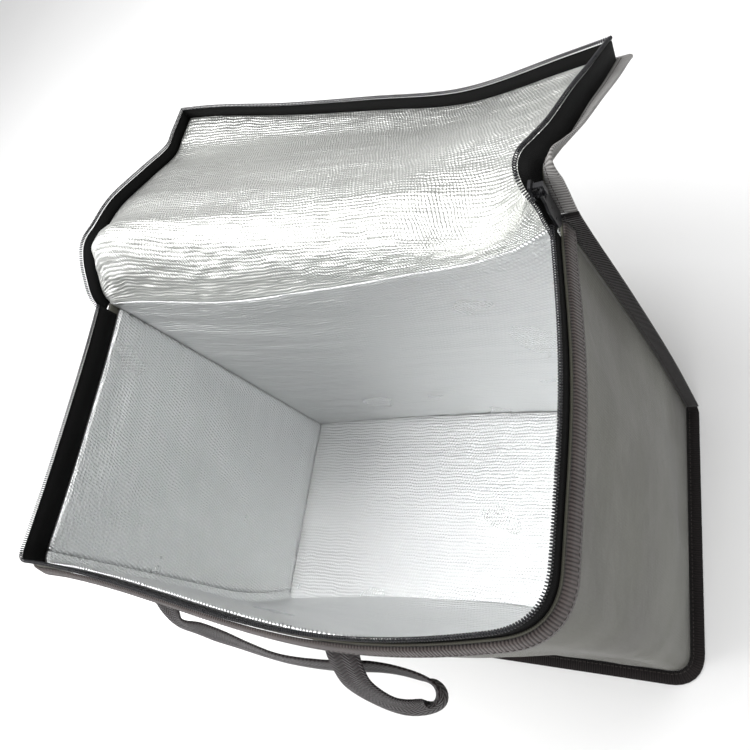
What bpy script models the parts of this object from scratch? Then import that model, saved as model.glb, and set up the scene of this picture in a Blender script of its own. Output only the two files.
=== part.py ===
"""Soft cooler bag with its lid folded back open. Metres, +Z up.

The origin is the middle of the base's underside. X runs along the length, Y to the hinged rear wall.
The functions work from the front left corner of the floor, and build() moves the finished mesh.
"""

import math
from collections import namedtuple

import bmesh
import bpy
import numpy as np
from mathutils import Matrix

# Sewn box
LENGTH = 0.460
DEPTH = 0.250
WALL_HEIGHT = 0.340

# Materials by thickness
CLOTH = 0.0015
LINING = 0.0035
GAP = 0.0003
LAYER_GAP = 0.0005
SEAM_GAP = 0.0006

# Zip
TAPE_THICKNESS = 0.0008
TAPE_BAND = 0.020
TAPE_ABOVE_CLOTH = 0.012
LID_TAPE_STAND = 0.0105
COIL_RADIUS = 0.0015
LID_COIL_GAP = 0.0005
COIL_SIDES = 6

# Ribbon bindings
BINDING_WIDTH = 0.011
BINDING_THICKNESS = 0.0020
RIM_BINDING_FLARE = math.radians(16)
BASE_BINDING_LIFT = 0.0003

# Front handle
WEBBING_WIDTH = 0.025
WEBBING_THICKNESS = 0.0015
HANDLE_SPACING = 0.164
HANDLE_FROM_LEFT = 0.148
HANDLE_TOP_UNDER_RIM = 0.0075

# Zip slider and pull tab
SLIDER_LENGTH = 0.0130
SLIDER_WIDTH = 0.0090
SLIDER_PLATE = 0.0018
BRIDGE_WIDTH = 0.0034
BRIDGE_LENGTH = 0.0090
BRIDGE_BAR = 0.0014
SLIDER_SHAPE = ((-1.0, 0.62), (-0.55, 0.92), (0.1, 1.0), (0.6, 0.9), (1.0, 0.66))
SLIDER_ROWS_UP = 4
TAB_LENGTH = 0.034
TAB_WIDTH = 0.0115
TAB_THICKNESS = 0.0016
TAB_NECK = 0.0078
TAB_EYE_DROP = 0.0060
TAB_WINDOW = 0.0046
TAB_SIDE_CLEARANCE = 0.0005
TAB_STAND = 0.0007
TAB_ROUND_STEPS = 8

# Front corners: radius at the floor and at the rim
FRONT_LEFT_RADIUS = (0.016, 0.014)
FRONT_RIGHT_RADIUS = (0.018, 0.030)
CORNER_STEPS = 5
WALL_ROWS = (0.05, 0.11, 0.19, 0.29, 0.40, 0.52, 0.64, 0.76, 0.88)
SIDE_STEPS = 9
FRONT_STEPS = 13
LID_STEPS = 2

# Corners of the cloth box at each height: shares of WALL_HEIGHT, and shifts as shares of DEPTH
Corner = namedtuple("Corner", "height fl_x fl_y fr_x fr_y rl_x rl_y rr_x rr_y")
CORNERS = (
    Corner(0.00, 0.000, 0.000, -0.024, 0.010, 0.000, 0.000, -0.024, -0.020),
    Corner(0.35, -0.004, 0.004, -0.024, 0.010, -0.012, 0.012, -0.034, -0.016),
    Corner(0.70, -0.006, 0.012, -0.028, 0.016, -0.024, 0.024, -0.056, -0.016),
    Corner(1.00, -0.006, 0.016, -0.034, 0.020, -0.036, 0.032, -0.080, -0.020),
    Corner(1.08, -0.006, 0.016, -0.036, 0.020, -0.036, 0.032, -0.084, -0.022),
)

# Outward bow of each wall at each height as shares of DEPTH; lean moves the front bow's peak to the right
Bow = namedtuple("Bow", "height left front right rear lean")
BOWS = (
    Bow(0.00, 0.000, 0.000, 0.000, 0.024, 1.0),
    Bow(0.30, 0.008, 0.052, 0.014, 0.020, 1.1),
    Bow(0.60, 0.000, 0.080, 0.020, 0.012, 1.3),
    Bow(1.00, -0.016, 0.084, 0.026, 0.004, 1.7),
    Bow(1.08, -0.016, 0.084, 0.026, 0.004, 1.7),
)

# Soft dents and swells pressed into the walls: place as shares of the wall, depth and reach as shares of DEPTH
Dent = namedtuple("Dent", "wall along up inward reach_along reach_up")
DENTS = (
    Dent("right", 0.24, 0.74, 0.018, 0.34, 0.34),
    Dent("right", 0.82, 0.70, 0.020, 0.30, 0.30),
    Dent("right", 0.55, 0.46, -0.016, 0.40, 0.40),
    Dent("right", 0.80, 0.24, 0.010, 0.34, 0.24),
    Dent("front", 0.90, 0.34, 0.034, 0.30, 0.50),
    Dent("front", 0.72, 0.60, -0.010, 0.30, 0.40),
    Dent("front", 0.22, 0.55, 0.014, 0.50, 0.60),
    Dent("left", 0.30, 0.50, 0.012, 0.26, 0.50),
    Dent("left", 0.78, 0.60, 0.012, 0.22, 0.50),
    Dent("rear", 0.35, 0.55, 0.012, 0.50, 0.60),
)

# Foot of the front lining, which curls in over the base: share of the length, inward share of DEPTH
Foot = namedtuple("Foot", "along inward")
FOOT = (Foot(0.0, 0.06), Foot(0.35, 0.13), Foot(0.60, 0.15), Foot(1.0, 0.10))
FOOT_HEIGHT = 0.110

# Foil face of the lid from the hinge to the free edge, at its two side edges, as shares of DEPTH:
# in is the shift along X from the floor's side, back is measured from the rear line, up from WALL_HEIGHT
Lid = namedtuple("Lid", "left_in left_back left_up right_in right_back right_up a b c d e")
LID = (
    Lid(-0.030, 0.012, 0.012, 0.080, -0.040, 0.020, -0.016, -0.116, -0.128, -0.124, -0.072),
    Lid(-0.030, 0.032, 0.048, 0.082, -0.028, 0.088, 0.032, -0.072, -0.104, -0.128, -0.104),
    Lid(-0.028, 0.080, 0.084, 0.082, -0.016, 0.160, 0.072, -0.040, -0.094, -0.148, -0.156),
    Lid(-0.026, 0.136, 0.120, 0.080, 0.016, 0.184, 0.096, -0.008, -0.086, -0.147, -0.172),
    Lid(-0.022, 0.192, 0.140, 0.070, 0.088, 0.140, 0.072, 0.012, -0.060, -0.108, -0.136),
    Lid(-0.018, 0.264, 0.128, 0.052, 0.168, 0.096, 0.048, 0.008, -0.040, -0.080, -0.100),
    Lid(-0.012, 0.396, 0.104, 0.034, 0.328, 0.016, 0.024, -0.008, -0.048, -0.080, -0.060),
    Lid(-0.004, 0.584, 0.028, 0.018, 0.460, -0.056, 0.012, -0.024, -0.060, -0.088, -0.044),
    Lid(0.006, 0.752, -0.040, 0.010, 0.568, -0.116, 0.000, -0.040, -0.072, -0.104, -0.036),
    Lid(0.014, 0.852, -0.044, 0.008, 0.616, -0.144, -0.004, -0.056, -0.084, -0.112, -0.032),
    Lid(0.026, 0.964, -0.044, 0.008, 0.652, -0.168, -0.008, -0.064, -0.096, -0.120, -0.028),
)
LID_STATIONS = (0.0, 0.07, 0.30, 0.50, 0.70, 0.93, 1.0)
STRIP_COLUMNS = (0.0, 0.03, 0.07, 0.13, 0.21, 0.30, 0.40, 0.50, 0.60, 0.70, 0.79, 0.87, 0.93, 0.97, 1.0)
REAR_ROWS = (0.0, 0.12, 0.30, 0.50, 0.70, 0.88)

# Middle line of the handle between its two sewn ends: along as a share of HANDLE_SPACING,
# off is the stand from the front cloth and up the height from the upper end, as shares of the spacing;
# the last three give the direction of the webbing's width
Strap = namedtuple("Strap", "along off up wide_x wide_y wide_z")
STRAP = (
    Strap(0.00, 0.000, 0.000, 1.0, 0.0, 0.0),
    Strap(0.01, 0.018, -0.070, 1.0, 0.0, 0.0),
    Strap(0.08, 0.082, -0.135, 0.9, 0.1, 0.5),
    Strap(0.20, 0.085, -0.175, 0.5, 0.4, 0.9),
    Strap(0.34, 0.085, -0.190, 0.2, 0.4, 1.0),
    Strap(0.50, 0.090, -0.195, 0.1, 0.3, 1.0),
    Strap(0.68, 0.090, -0.190, 0.1, 0.2, 1.0),
    Strap(0.86, 0.075, -0.230, 0.1, 0.2, 1.0),
    Strap(1.02, 0.055, -0.290, 0.1, 0.2, 1.0),
    Strap(1.14, 0.065, -0.340, 0.2, 0.2, 1.0),
    Strap(1.22, 0.100, -0.400, 0.3, 0.2, 1.0),
    Strap(1.22, 0.160, -0.440, 0.2, 0.3, 1.0),
    Strap(1.14, 0.185, -0.420, 0.3, 0.4, 0.9),
    Strap(1.06, 0.170, -0.330, 0.6, 0.3, 0.7),
    Strap(1.01, 0.120, -0.200, 0.9, 0.2, 0.3),
    Strap(1.00, 0.050, -0.110, 1.0, 0.0, 0.0),
    Strap(1.00, 0.002, -0.060, 1.0, 0.0, 0.0),
    Strap(1.00, 0.000, 0.000, 1.0, 0.0, 0.0),
)
STRAP_STEPS = 3
STRAP_LIFT = 0.06

# Colours as linear red, green and blue
OLIVE = (0.138, 0.144, 0.110)
FOIL = (0.80, 0.80, 0.79)
ZIP_BLACK = (0.004, 0.004, 0.004)
TRIM = (0.060, 0.048, 0.046)
TRIM_DARK = (0.022, 0.016, 0.016)
WEBBING = (0.020, 0.014, 0.015)
SLIDER_METAL = (0.020, 0.020, 0.022)

INNER = CLOTH + LAYER_GAP + LINING
FLOOR_LINING = CLOTH + GAP
FLOOR_TOP = FLOOR_LINING + LINING
TAPE_INSET = CLOTH + GAP
TAPE_TOP = WALL_HEIGHT + TAPE_ABOVE_CLOTH
TAPE_FOOT = TAPE_TOP - TAPE_BAND


def smooth(knots, values, at):
    """Cubic curve through the values at the knots."""
    knots = np.asarray(knots, float)
    values = np.asarray(values, float)
    at = np.clip(np.asarray(at, float), knots[0], knots[-1])
    slopes = np.gradient(values, knots)
    cell = np.clip(np.searchsorted(knots, at, side="right") - 1, 0, len(knots) - 2)
    span = knots[cell + 1] - knots[cell]
    t = (at - knots[cell]) / span
    rise = values[cell + 1] - values[cell]
    start = slopes[cell] * span
    end = slopes[cell + 1] * span
    return values[cell] + t * start + t**2 * (3 * rise - 2 * start - end) + t**3 * (start + end - 2 * rise)


def column(table, name):
    """One named column of a table."""
    return [getattr(row, name) for row in table]


def by_height(table, name, z):
    """A column of a height table, read at the height z."""
    return float(smooth(column(table, "height"), column(table, name), z / WALL_HEIGHT))


def corner(name, z):
    """Plan position of a corner of the cloth box: fl, fr, rl or rr."""
    x = LENGTH if name[1] == "r" else 0.0
    y = DEPTH if name[0] == "r" else 0.0
    return np.array((x + DEPTH * by_height(CORNERS, name + "_x", z), y + DEPTH * by_height(CORNERS, name + "_y", z)))


def dented(wall, along, z):
    """Inward push of the dents of one wall."""
    total = 0.0
    for dent in DENTS:
        if dent.wall == wall:
            a = (along - dent.along) / dent.reach_along
            b = (z / WALL_HEIGHT - dent.up) / dent.reach_up
            total += dent.inward * math.exp(-2.0 * (a * a + b * b))
    return DEPTH * total * min(1.0, z / WALL_HEIGHT * 6) * min(1.0, 12 * along, 12 * (1 - along))


def side_x(side, y, z):
    """X of the outer face of the left or right wall."""
    front = corner("f" + side[0], z)
    rear = corner("r" + side[0], z)
    share = min(max((y - front[1]) / (rear[1] - front[1]), 0.0), 1.0)
    outward = DEPTH * by_height(BOWS, side, z) * math.sin(math.pi * share) - dented(side, share, z)
    return front[0] + (rear[0] - front[0]) * share + (outward if side == "right" else -outward)


def front_y(x, z):
    """Y of the outer face of the front wall."""
    left = corner("fl", z)
    right = corner("fr", z)
    share = min(max((x - left[0]) / (right[0] - left[0]), 0.0), 1.0)
    bow = DEPTH * by_height(BOWS, "front", z) * math.sin(math.pi * share ** by_height(BOWS, "lean", z))
    return left[1] + (right[1] - left[1]) * share - bow + dented("front", share, z)


def rear_y(x, z):
    """Y of the outer face of the rear wall."""
    left = corner("rl", z)
    right = corner("rr", z)
    share = min(max((x - left[0]) / (right[0] - left[0]), 0.0), 1.0)
    bow = DEPTH * by_height(BOWS, "rear", z) * math.sin(math.pi * share)
    return left[1] + (right[1] - left[1]) * share + bow - dented("rear", share, z)


def blend(radii, z):
    """A size given at the floor and at the rim, read at the height z."""
    return radii[0] + (radii[1] - radii[0]) * min(z / WALL_HEIGHT, 1.0)


def bezier(start, middle, end, steps):
    """Inner points of a curve that rounds a corner."""
    for i in range(1, steps):
        t = i / steps
        yield (1 - t) ** 2 * start + 2 * t * (1 - t) * middle + t * t * end


def outline(z):
    """Outer face of the left, front and right walls at one height, from the rear left to the rear right."""
    fl, fr, rl, rr = (corner(name, z) for name in ("fl", "fr", "rl", "rr"))
    left_round = blend(FRONT_LEFT_RADIUS, z)
    right_round = blend(FRONT_RIGHT_RADIUS, z)
    points = []
    for y in np.linspace(rl[1], fl[1] + left_round, SIDE_STEPS + 1):
        points.append(np.array((side_x("left", y, z), y)))
    xs = np.linspace(fl[0] + left_round, fr[0] - right_round, FRONT_STEPS + 1)
    front = [np.array((x, front_y(x, z))) for x in xs]
    points.extend(bezier(points[-1], fl, front[0], CORNER_STEPS))
    points.extend(front)
    start = fr[1] + right_round
    right = [np.array((side_x("right", y, z), y)) for y in np.linspace(start, rr[1], SIDE_STEPS + 1)]
    points.extend(bezier(points[-1], fr, right[0], CORNER_STEPS))
    points.extend(right)
    return np.array(points)


def inset(points, distance, closed=False):
    """A plan line moved inwards, to the left of its direction of travel."""
    if closed:
        before, after = np.roll(points, 1, axis=0), np.roll(points, -1, axis=0)
    else:
        before = np.concatenate([points[:1], points[:-1]])
        after = np.concatenate([points[1:], points[-1:]])
    first = points - before
    second = after - points
    if not closed:
        first[0], second[-1] = second[0], first[-1]
    first /= np.linalg.norm(first, axis=1)[:, None]
    second /= np.linalg.norm(second, axis=1)[:, None]
    normals = np.stack([-first[:, 1] - second[:, 1], first[:, 0] + second[:, 0]], axis=1)
    half = np.linalg.norm(normals, axis=1) / 2
    normals /= 2 * half[:, None]
    return points + normals * (np.asarray(distance) / np.maximum(half, 0.5)).reshape(-1, 1)


def at_height(plan, z):
    """A plan line as points in space."""
    return np.column_stack([plan, np.full(len(plan), z)])


def material(name, colour, roughness, metallic=0.0):
    """A plain Principled material."""
    made = bpy.data.materials.new(name)
    made.use_nodes = True
    shader = made.node_tree.nodes["Principled BSDF"]
    shader.inputs["Base Color"].default_value = (*colour, 1.0)
    shader.inputs["Roughness"].default_value = roughness
    shader.inputs["Metallic"].default_value = metallic
    made.diffuse_color = (*colour, 1.0)
    return made


def build(name, points, faces, finish, round_shading=False):
    """Makes one object from points given from the front left floor corner."""
    middle = np.array((LENGTH / 2, DEPTH / 2, 0.0))
    mesh = bpy.data.meshes.new(name)
    mesh.from_pydata([tuple(point) for point in np.asarray(points) - middle], [], faces)
    shell = bmesh.new()
    shell.from_mesh(mesh)
    bmesh.ops.recalc_face_normals(shell, faces=shell.faces)
    shell.to_mesh(mesh)
    shell.free()
    mesh.materials.append(finish)
    mesh.polygons.foreach_set("use_smooth", [round_shading] * len(mesh.polygons))
    made = bpy.data.objects.new(name, mesh)
    bpy.context.scene.collection.objects.link(made)
    return made


def slab(name, near, far, finish):
    """A closed sheet between two grids of rows and columns."""
    near = np.asarray(near)
    far = np.asarray(far)
    rows, columns = near.shape[:2]
    count = rows * columns
    faces = []
    for r in range(rows - 1):
        for c in range(columns - 1):
            a = r * columns + c
            for face in ((a, a + 1, a + 1 + columns), (a, a + 1 + columns, a + columns)):
                faces.append(face)
                faces.append(tuple(count + i for i in reversed(face)))
    rim = [c for c in range(columns)]
    rim += [r * columns + columns - 1 for r in range(1, rows)]
    rim += [(rows - 1) * columns + c for c in range(columns - 2, -1, -1)]
    rim += [r * columns for r in range(rows - 2, 0, -1)]
    for a, b in zip(rim, rim[1:] + rim[:1]):
        faces.append((b, a, a + count, b + count))
    return build(name, np.concatenate([near.reshape(-1, 3), far.reshape(-1, 3)]), faces, finish, True)


def loft(name, rings, finish, closed=False, round_shading=False):
    """A solid through rings of equally many points, capped at both ends unless it closes on itself."""
    rings = np.asarray(rings)
    count, sides = rings.shape[:2]
    faces = []
    for i in range(count if closed else count - 1):
        for j in range(sides):
            a, b = i * sides + j, i * sides + (j + 1) % sides
            following = ((i + 1) % count - i) * sides
            faces.append((a, b, b + following, a + following))
    if not closed:
        faces.append(tuple(range(sides)))
        faces.append(tuple(range((count - 1) * sides, count * sides)))
    return build(name, rings.reshape(-1, 3), faces, finish, round_shading)


def directions(path):
    """Unit direction of travel at each point of an open line."""
    path = np.asarray(path)
    steps = np.gradient(path, axis=0)
    return steps / np.linalg.norm(steps, axis=1)[:, None]


def tube(name, path, radius, finish):
    """A round cord along an open line."""
    rings = []
    for point, ahead in zip(path, directions(path)):
        flat = np.cross(ahead, (0.0, 0.0, 1.0))
        if np.linalg.norm(flat) < 0.3:
            flat = np.cross(ahead, (0.0, -1.0, 0.0))
        flat /= np.linalg.norm(flat)
        lift = np.cross(flat, ahead)
        turns = [2 * math.pi * i / COIL_SIDES for i in range(COIL_SIDES)]
        rings.append([point + radius * (math.cos(a) * flat + math.sin(a) * lift) for a in turns])
    return loft(name, rings, finish, round_shading=True)


def band(heights, near, far, keep=slice(None)):
    """Near and far grids of a wall band whose insets are functions of height."""
    near_rows = []
    far_rows = []
    for z in heights:
        plan = outline(z)
        near_rows.append(at_height(inset(plan, near), z)[keep])
        far_rows.append(at_height(inset(plan, far), z)[keep])
    return np.array(near_rows), np.array(far_rows)


def shorten(grid, clearance):
    """Moves the first and last points of each row so that they stop before the rear wall's inner face."""
    for row in grid:
        for end, inner in ((0, 1), (-1, -2)):
            stop = rear_y(row[end][0], row[end][2]) - clearance
            share = (row[end][1] - stop) / (row[end][1] - row[inner][1])
            row[end] += (row[inner] - row[end]) * share
    return grid


def wall_heights(bottom, top):
    """Heights of the rows of a wall piece; pieces in layers share the rows between their ends."""
    return np.array((bottom, *(WALL_HEIGHT * share for share in WALL_ROWS), top))


def make_band(olive):
    """Cloth of the left, front and right walls."""
    near, far = band(wall_heights(CLOTH + GAP, WALL_HEIGHT), 0.0, CLOTH)
    clearance = CLOTH + GAP
    return slab("front_side_band", shorten(near, clearance), shorten(far, clearance), olive)


def foot_push(x, z):
    """How far the front lining's foot comes in at the height z."""
    amount = DEPTH * float(smooth(column(FOOT, "along"), column(FOOT, "inward"), x / LENGTH))
    rest = max(0.0, 1 - (z - FLOOR_TOP) / FOOT_HEIGHT)
    return amount * rest**2


def side_stretch(row, low, high):
    """Moves one side wall's points along their own line so that they run between two places along Y."""
    order = np.argsort(row[:, 1])
    ys = row[order, 1]
    share = (ys - ys[0]) / (ys[-1] - ys[0])
    placed = ys + (low - ys[0]) * (1 - share) ** 3
    placed[-1] = high
    moved = row.copy()
    moved[order, 0] = np.interp(placed, ys, row[order, 0])
    moved[order, 1] = placed
    return moved


def make_side_linings(foil):
    """Foil-faced foam inside the left, front and right walls, in three pieces."""
    near, far = band(wall_heights(FLOOR_TOP + GAP, TAPE_FOOT - GAP), CLOTH + LAYER_GAP, INNER)
    front_end = SIDE_STEPS + 2 * CORNER_STEPS + FRONT_STEPS
    sides = (("lining_left", slice(0, SIDE_STEPS + 1), -1), ("lining_right", slice(front_end, None), 0))
    for name, part, front in sides:
        pair = []
        for grid in (near, far):
            rows = []
            for row in grid[:, part]:
                x, y, z = row[front]
                low = y + GAP + foot_push(x, z)
                high = rear_y(x, z) - INNER - GAP
                rows.append(side_stretch(row, low, high))
            pair.append(rows)
        slab(name, pair[0], pair[1], foil)
    pair = [grid[:, SIDE_STEPS : front_end + 1].copy() for grid in (near, far)]
    for grid in pair:
        for row in grid:
            for point in row:
                point[1] += foot_push(point[0], point[2])
    return slab("lining_front", pair[0], pair[1], foil)


def strip_foil():
    """Foil face of the rear wall and of the lid as one grid of rows and columns."""
    steps = np.linspace(0, len(LID) - 1, (len(LID) - 1) * LID_STEPS + 1)
    table = {name: DEPTH * smooth(range(len(LID)), column(LID, name), steps) for name in Lid._fields}
    lid_rows = []
    for i in range(len(steps)):
        rises = [0.0] + [table[name][i] for name in "abcde"] + [0.0]
        row = []
        for u in STRIP_COLUMNS:
            left = np.array((table["left_in"][i], DEPTH + table["left_back"][i], WALL_HEIGHT + table["left_up"][i]))
            right = np.array(
                (LENGTH - table["right_in"][i], DEPTH + table["right_back"][i], WALL_HEIGHT + table["right_up"][i])
            )
            point = left + (right - left) * u
            point[2] += float(smooth(LID_STATIONS, rises, u))
            row.append(point)
        lid_rows.append(row)
    rear_rows = []
    for share in REAR_ROWS:
        row = []
        for u, hinge in zip(STRIP_COLUMNS, lid_rows[0]):
            z = CLOTH + GAP + (hinge[2] - CLOTH - GAP) * share
            left = side_x("left", DEPTH, z)
            right = side_x("right", DEPTH, z)
            x = left + (right - left) * u
            wall = rear_y(x, z) - INNER
            y = wall + (hinge[1] - rear_y(hinge[0], hinge[2]) + INNER) * share**4
            row.append((x, y, z))
        rear_rows.append(row)
    return np.array(rear_rows + lid_rows)


def grid_normals(grid):
    """Unit normals of a grid, towards the foil side."""
    across = np.gradient(grid, axis=1)
    along = np.gradient(grid, axis=0)
    normals = np.cross(across, along)
    return normals / np.linalg.norm(normals, axis=2)[:, :, None]


def trimmed(grid, amount):
    """A grid with its two side edges drawn in by an amount."""
    grid = grid.copy()
    for edge, inner in ((0, 1), (-1, -2)):
        inwards = grid[:, inner] - grid[:, edge]
        grid[:, edge] += inwards * (amount / np.linalg.norm(inwards, axis=1))[:, None]
    return grid


def make_strip(olive, foil):
    """Rear wall and lid: cloth in one piece, and a lining for each."""
    face = strip_foil()
    away = -grid_normals(face)
    hinge = len(REAR_ROWS)
    slab("rear_lid_panel", face + away * (INNER - CLOTH), face + away * INNER, olive)
    side = CLOTH + 2 * GAP + TAPE_THICKNESS
    free = side
    narrow = trimmed(face, side)
    rear = narrow[: hinge + 1].copy()
    rear[:, 0] = trimmed(face, CLOTH + 3 * GAP)[: hinge + 1, 0]
    rear[:, -1] = trimmed(face, CLOTH + 3 * GAP)[: hinge + 1, -1]
    lift = (FLOOR_TOP + GAP - rear[0, :, 2]) / (rear[1, :, 2] - rear[0, :, 2])
    rear[0] += (rear[1] - rear[0]) * lift[:, None]
    back = away[: hinge + 1].copy()
    back[0, :, 2] = 0.0
    slab("lining_rear", rear, rear + back * LINING, foil)
    lid = narrow[hinge:].copy()
    turn = away[hinge:].copy()
    lid[0] += (lid[1] - lid[0]) * (GAP / np.linalg.norm(lid[1] - lid[0], axis=1))[:, None]
    last = lid[-1] - lid[-2]
    lid[-1] -= last * (free / np.linalg.norm(last, axis=1))[:, None]
    slab("lining_lid", lid, lid + turn * LINING, foil)
    return face, away


def make_base(olive, foil):
    """Cloth under the base and the foil-faced foam on it."""
    for name, low, high, gap, finish in (
        ("base_panel", 0.0, CLOTH, 0.0, olive),
        ("lining_base", FLOOR_LINING, FLOOR_TOP, CLOTH + GAP, foil),
    ):
        plan = inset(outline(low), gap)
        half = len(plan) // 2
        grids = []
        for z in (low, high):
            rows = []
            for i in range(half + 1):
                left, right = plan[i].copy(), plan[len(plan) - 1 - i].copy()
                if i == 0:
                    left[1] = rear_y(left[0], 0.0) - gap
                    right[1] = rear_y(right[0], 0.0) - gap
                rows.append([(*(left + (right - left) * u), z) for u in (0.0, 0.5, 1.0)])
            grids.append(rows)
        slab(name, np.array(grids[0]), np.array(grids[1]), finish)


def rim_path(z, distance):
    """Line round the front and side rims at one inset, stopping before the lid's own zip half."""
    plan = at_height(inset(outline(z), distance), z)
    return shorten(np.array([plan]), INNER + LID_TAPE_STAND + 2 * COIL_RADIUS + 3 * GAP)[0]


def make_body_zip(black):
    """Tape and coil on the front and side rims."""
    rings = []
    edges = [
        rim_path(z, d)
        for z, d in (
            (TAPE_FOOT, TAPE_INSET),
            (TAPE_FOOT, TAPE_INSET + TAPE_THICKNESS),
            (TAPE_TOP, TAPE_INSET + TAPE_THICKNESS),
            (TAPE_TOP, TAPE_INSET),
        )
    ]
    for ring in zip(*edges):
        rings.append(ring)
    loft("body_zip_tape", rings, black)
    middle = rim_path(TAPE_TOP + GAP + COIL_RADIUS, TAPE_INSET + TAPE_THICKNESS / 2)
    tube("body_zip_coil", middle, COIL_RADIUS, black)


def make_rim_binding(trim):
    """Ribbon folded down over the outside of the front and side rims."""
    top = WALL_HEIGHT
    low = top - BINDING_WIDTH * math.cos(RIM_BINDING_FLARE)
    out = GAP + BINDING_WIDTH * math.sin(RIM_BINDING_FLARE)
    corners = (
        (top, -GAP),
        (low, -out),
        (low, -out - BINDING_THICKNESS),
        (top, -GAP - BINDING_THICKNESS),
    )
    edges = []
    for z, distance in corners:
        plan = at_height(inset(outline(top), distance), z)
        edges.append(shorten(np.array([plan]), BINDING_THICKNESS + 2 * GAP)[0])
    loft("rim_binding", list(zip(*edges)), trim)


def make_bottom_binding(trim):
    """Ribbon standing out all round the foot of the walls."""
    plan = outline(0.0)
    rear = np.array([(x, rear_y(x, 0.0)) for x in np.linspace(plan[-1][0], plan[0][0], FRONT_STEPS + 1)])
    loop = np.concatenate([plan, rear[1:-1]])
    low = BASE_BINDING_LIFT
    high = low + BINDING_THICKNESS
    edges = []
    for z, distance in ((low, GAP), (low, GAP + BINDING_WIDTH), (high, GAP + BINDING_WIDTH), (high, GAP)):
        edges.append(at_height(inset(loop, -distance, closed=True), z))
    loft("bottom_binding", list(zip(*edges)), trim, closed=True)


def lid_border(face, away):
    """Edge points of the lid from the left hinge round the free edge to the right hinge, with their frames."""
    first = len(REAR_ROWS)
    rows, columns = face.shape[:2]
    cells = [(r, 0) for r in range(first, rows)]
    cells += [(rows - 1, c) for c in range(1, columns)]
    cells += [(r, columns - 1) for r in range(rows - 2, first - 1, -1)]
    points = []
    outwards = []
    ups = []
    for r, c in cells:
        out = np.zeros(3)
        if c == 0:
            out += face[r, 0] - face[r, 1]
            out /= np.linalg.norm(out)
        if c == columns - 1:
            step = face[r, c] - face[r, c - 1]
            out += step / np.linalg.norm(step)
        if r == rows - 1:
            step = face[r, c] - face[r - 1, c]
            out += step / np.linalg.norm(step)
        up = -away[r, c]
        out -= up * np.dot(out, up)
        points.append(face[r, c])
        outwards.append(out)
        ups.append(up)
    return np.array(points), np.array(outwards), np.array(ups)


def make_lid_trim(face, away, black, trim):
    """Zip tape, coil and ribbon round the lid's three free edges."""
    points, outwards, ups = lid_border(face, away)
    root = -(INNER - CLOTH) + GAP

    def line(out, up, keep=slice(None)):
        return (points + outwards * out + ups * up)[keep]

    inside = -TAPE_THICKNESS - GAP
    edges = [
        line(out, up)
        for out, up in ((-GAP, root), (-GAP, LID_TAPE_STAND), (inside, LID_TAPE_STAND), (inside, root))
    ]
    loft("lid_zip_tape", list(zip(*edges)), black)
    tube("lid_zip_coil", line((inside - GAP) / 2, LID_TAPE_STAND + LID_COIL_GAP + COIL_RADIUS), COIL_RADIUS, black)
    middle = -(INNER - CLOTH / 2)
    low = middle - BINDING_THICKNESS / 2
    high = middle + BINDING_THICKNESS / 2
    edges = [
        line(out, up, slice(1, -1))
        for out, up in ((SEAM_GAP, low), (SEAM_GAP + BINDING_WIDTH, low), (SEAM_GAP + BINDING_WIDTH, high), (SEAM_GAP, high))
    ]
    loft("lid_binding", list(zip(*edges)), trim)


def make_rear_bindings(face, away, trim):
    """Ribbon standing out from the two upright seams of the rear wall."""
    last = len(REAR_ROWS)
    for name, edge, sign in (("rear_binding_left", 0, -1.0), ("rear_binding_right", -1, 1.0)):
        points = face[: last + 1, edge] + away[: last + 1, edge] * INNER
        rings = []
        for i, point in enumerate(points):
            if i == 0:
                point = point + (points[1] - point) * 0.06
                point[2] = BASE_BINDING_LIFT + BINDING_THICKNESS + GAP
            near = point + np.array((sign * SEAM_GAP, 0.0, 0.0))
            far = near + np.array((sign * BINDING_WIDTH, 0.0, 0.0))
            inwards = np.array((0.0, -BINDING_THICKNESS, 0.0))
            rings.append((near, far, far + inwards, near + inwards))
        loft(name, rings, trim)


def make_handle(webbing):
    """Webbing loop sewn on below the front rim."""
    count = len(STRAP)
    steps = np.linspace(0, count - 1, (count - 1) * STRAP_STEPS + 1)
    table = {name: smooth(range(count), column(STRAP, name), steps) for name in Strap._fields}
    top = WALL_HEIGHT - HANDLE_TOP_UNDER_RIM
    middle = []
    for along, off, up in zip(table["along"], table["off"], table["up"]):
        x = HANDLE_FROM_LEFT + HANDLE_SPACING * along
        z = top + HANDLE_SPACING * up
        stand = GAP + WEBBING_THICKNESS / 2 + HANDLE_SPACING * max(off, 0.0)
        middle.append((x, front_y(x, z) - stand, z))
    middle = np.array(middle)
    wide = np.column_stack([table["wide_x"], table["wide_y"], table["wide_z"]])
    rings = []
    for point, ahead, across, off in zip(middle, directions(middle), wide, table["off"]):
        across = across - ahead * np.dot(across, ahead)
        across *= WEBBING_WIDTH / 2 / np.linalg.norm(across)
        thick = np.cross(ahead, across)
        thick *= WEBBING_THICKNESS / 2 / np.linalg.norm(thick)
        ring = [point + across * i + thick * j for i, j in ((-1, -1), (0, -1), (1, -1), (1, 1), (0, 1), (-1, 1))]
        lying = max(0.0, 1 - abs(off) / STRAP_LIFT)
        for edge in ring:
            edge[1] += lying * (front_y(edge[0], edge[2]) - front_y(point[0], point[2]))
        rings.append(ring)
    return loft("front_handle", rings, webbing)


def box(name, low, high, finish):
    """A box between two corners."""
    rings = []
    for x in (low[0], high[0]):
        rings.append([(x, y, z) for y, z in ((low[1], low[2]), (high[1], low[2]), (high[1], high[2]), (low[1], high[2]))])
    return loft(name, rings, finish)


def combine(target, other, operation):
    """Adds or cuts another object with an exact Boolean and hides it."""
    step = target.modifiers.new(other.name, "BOOLEAN")
    step.operation = operation
    step.solver = "EXACT"
    step.object = other
    other.hide_render = True
    other.display_type = "WIRE"


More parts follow.
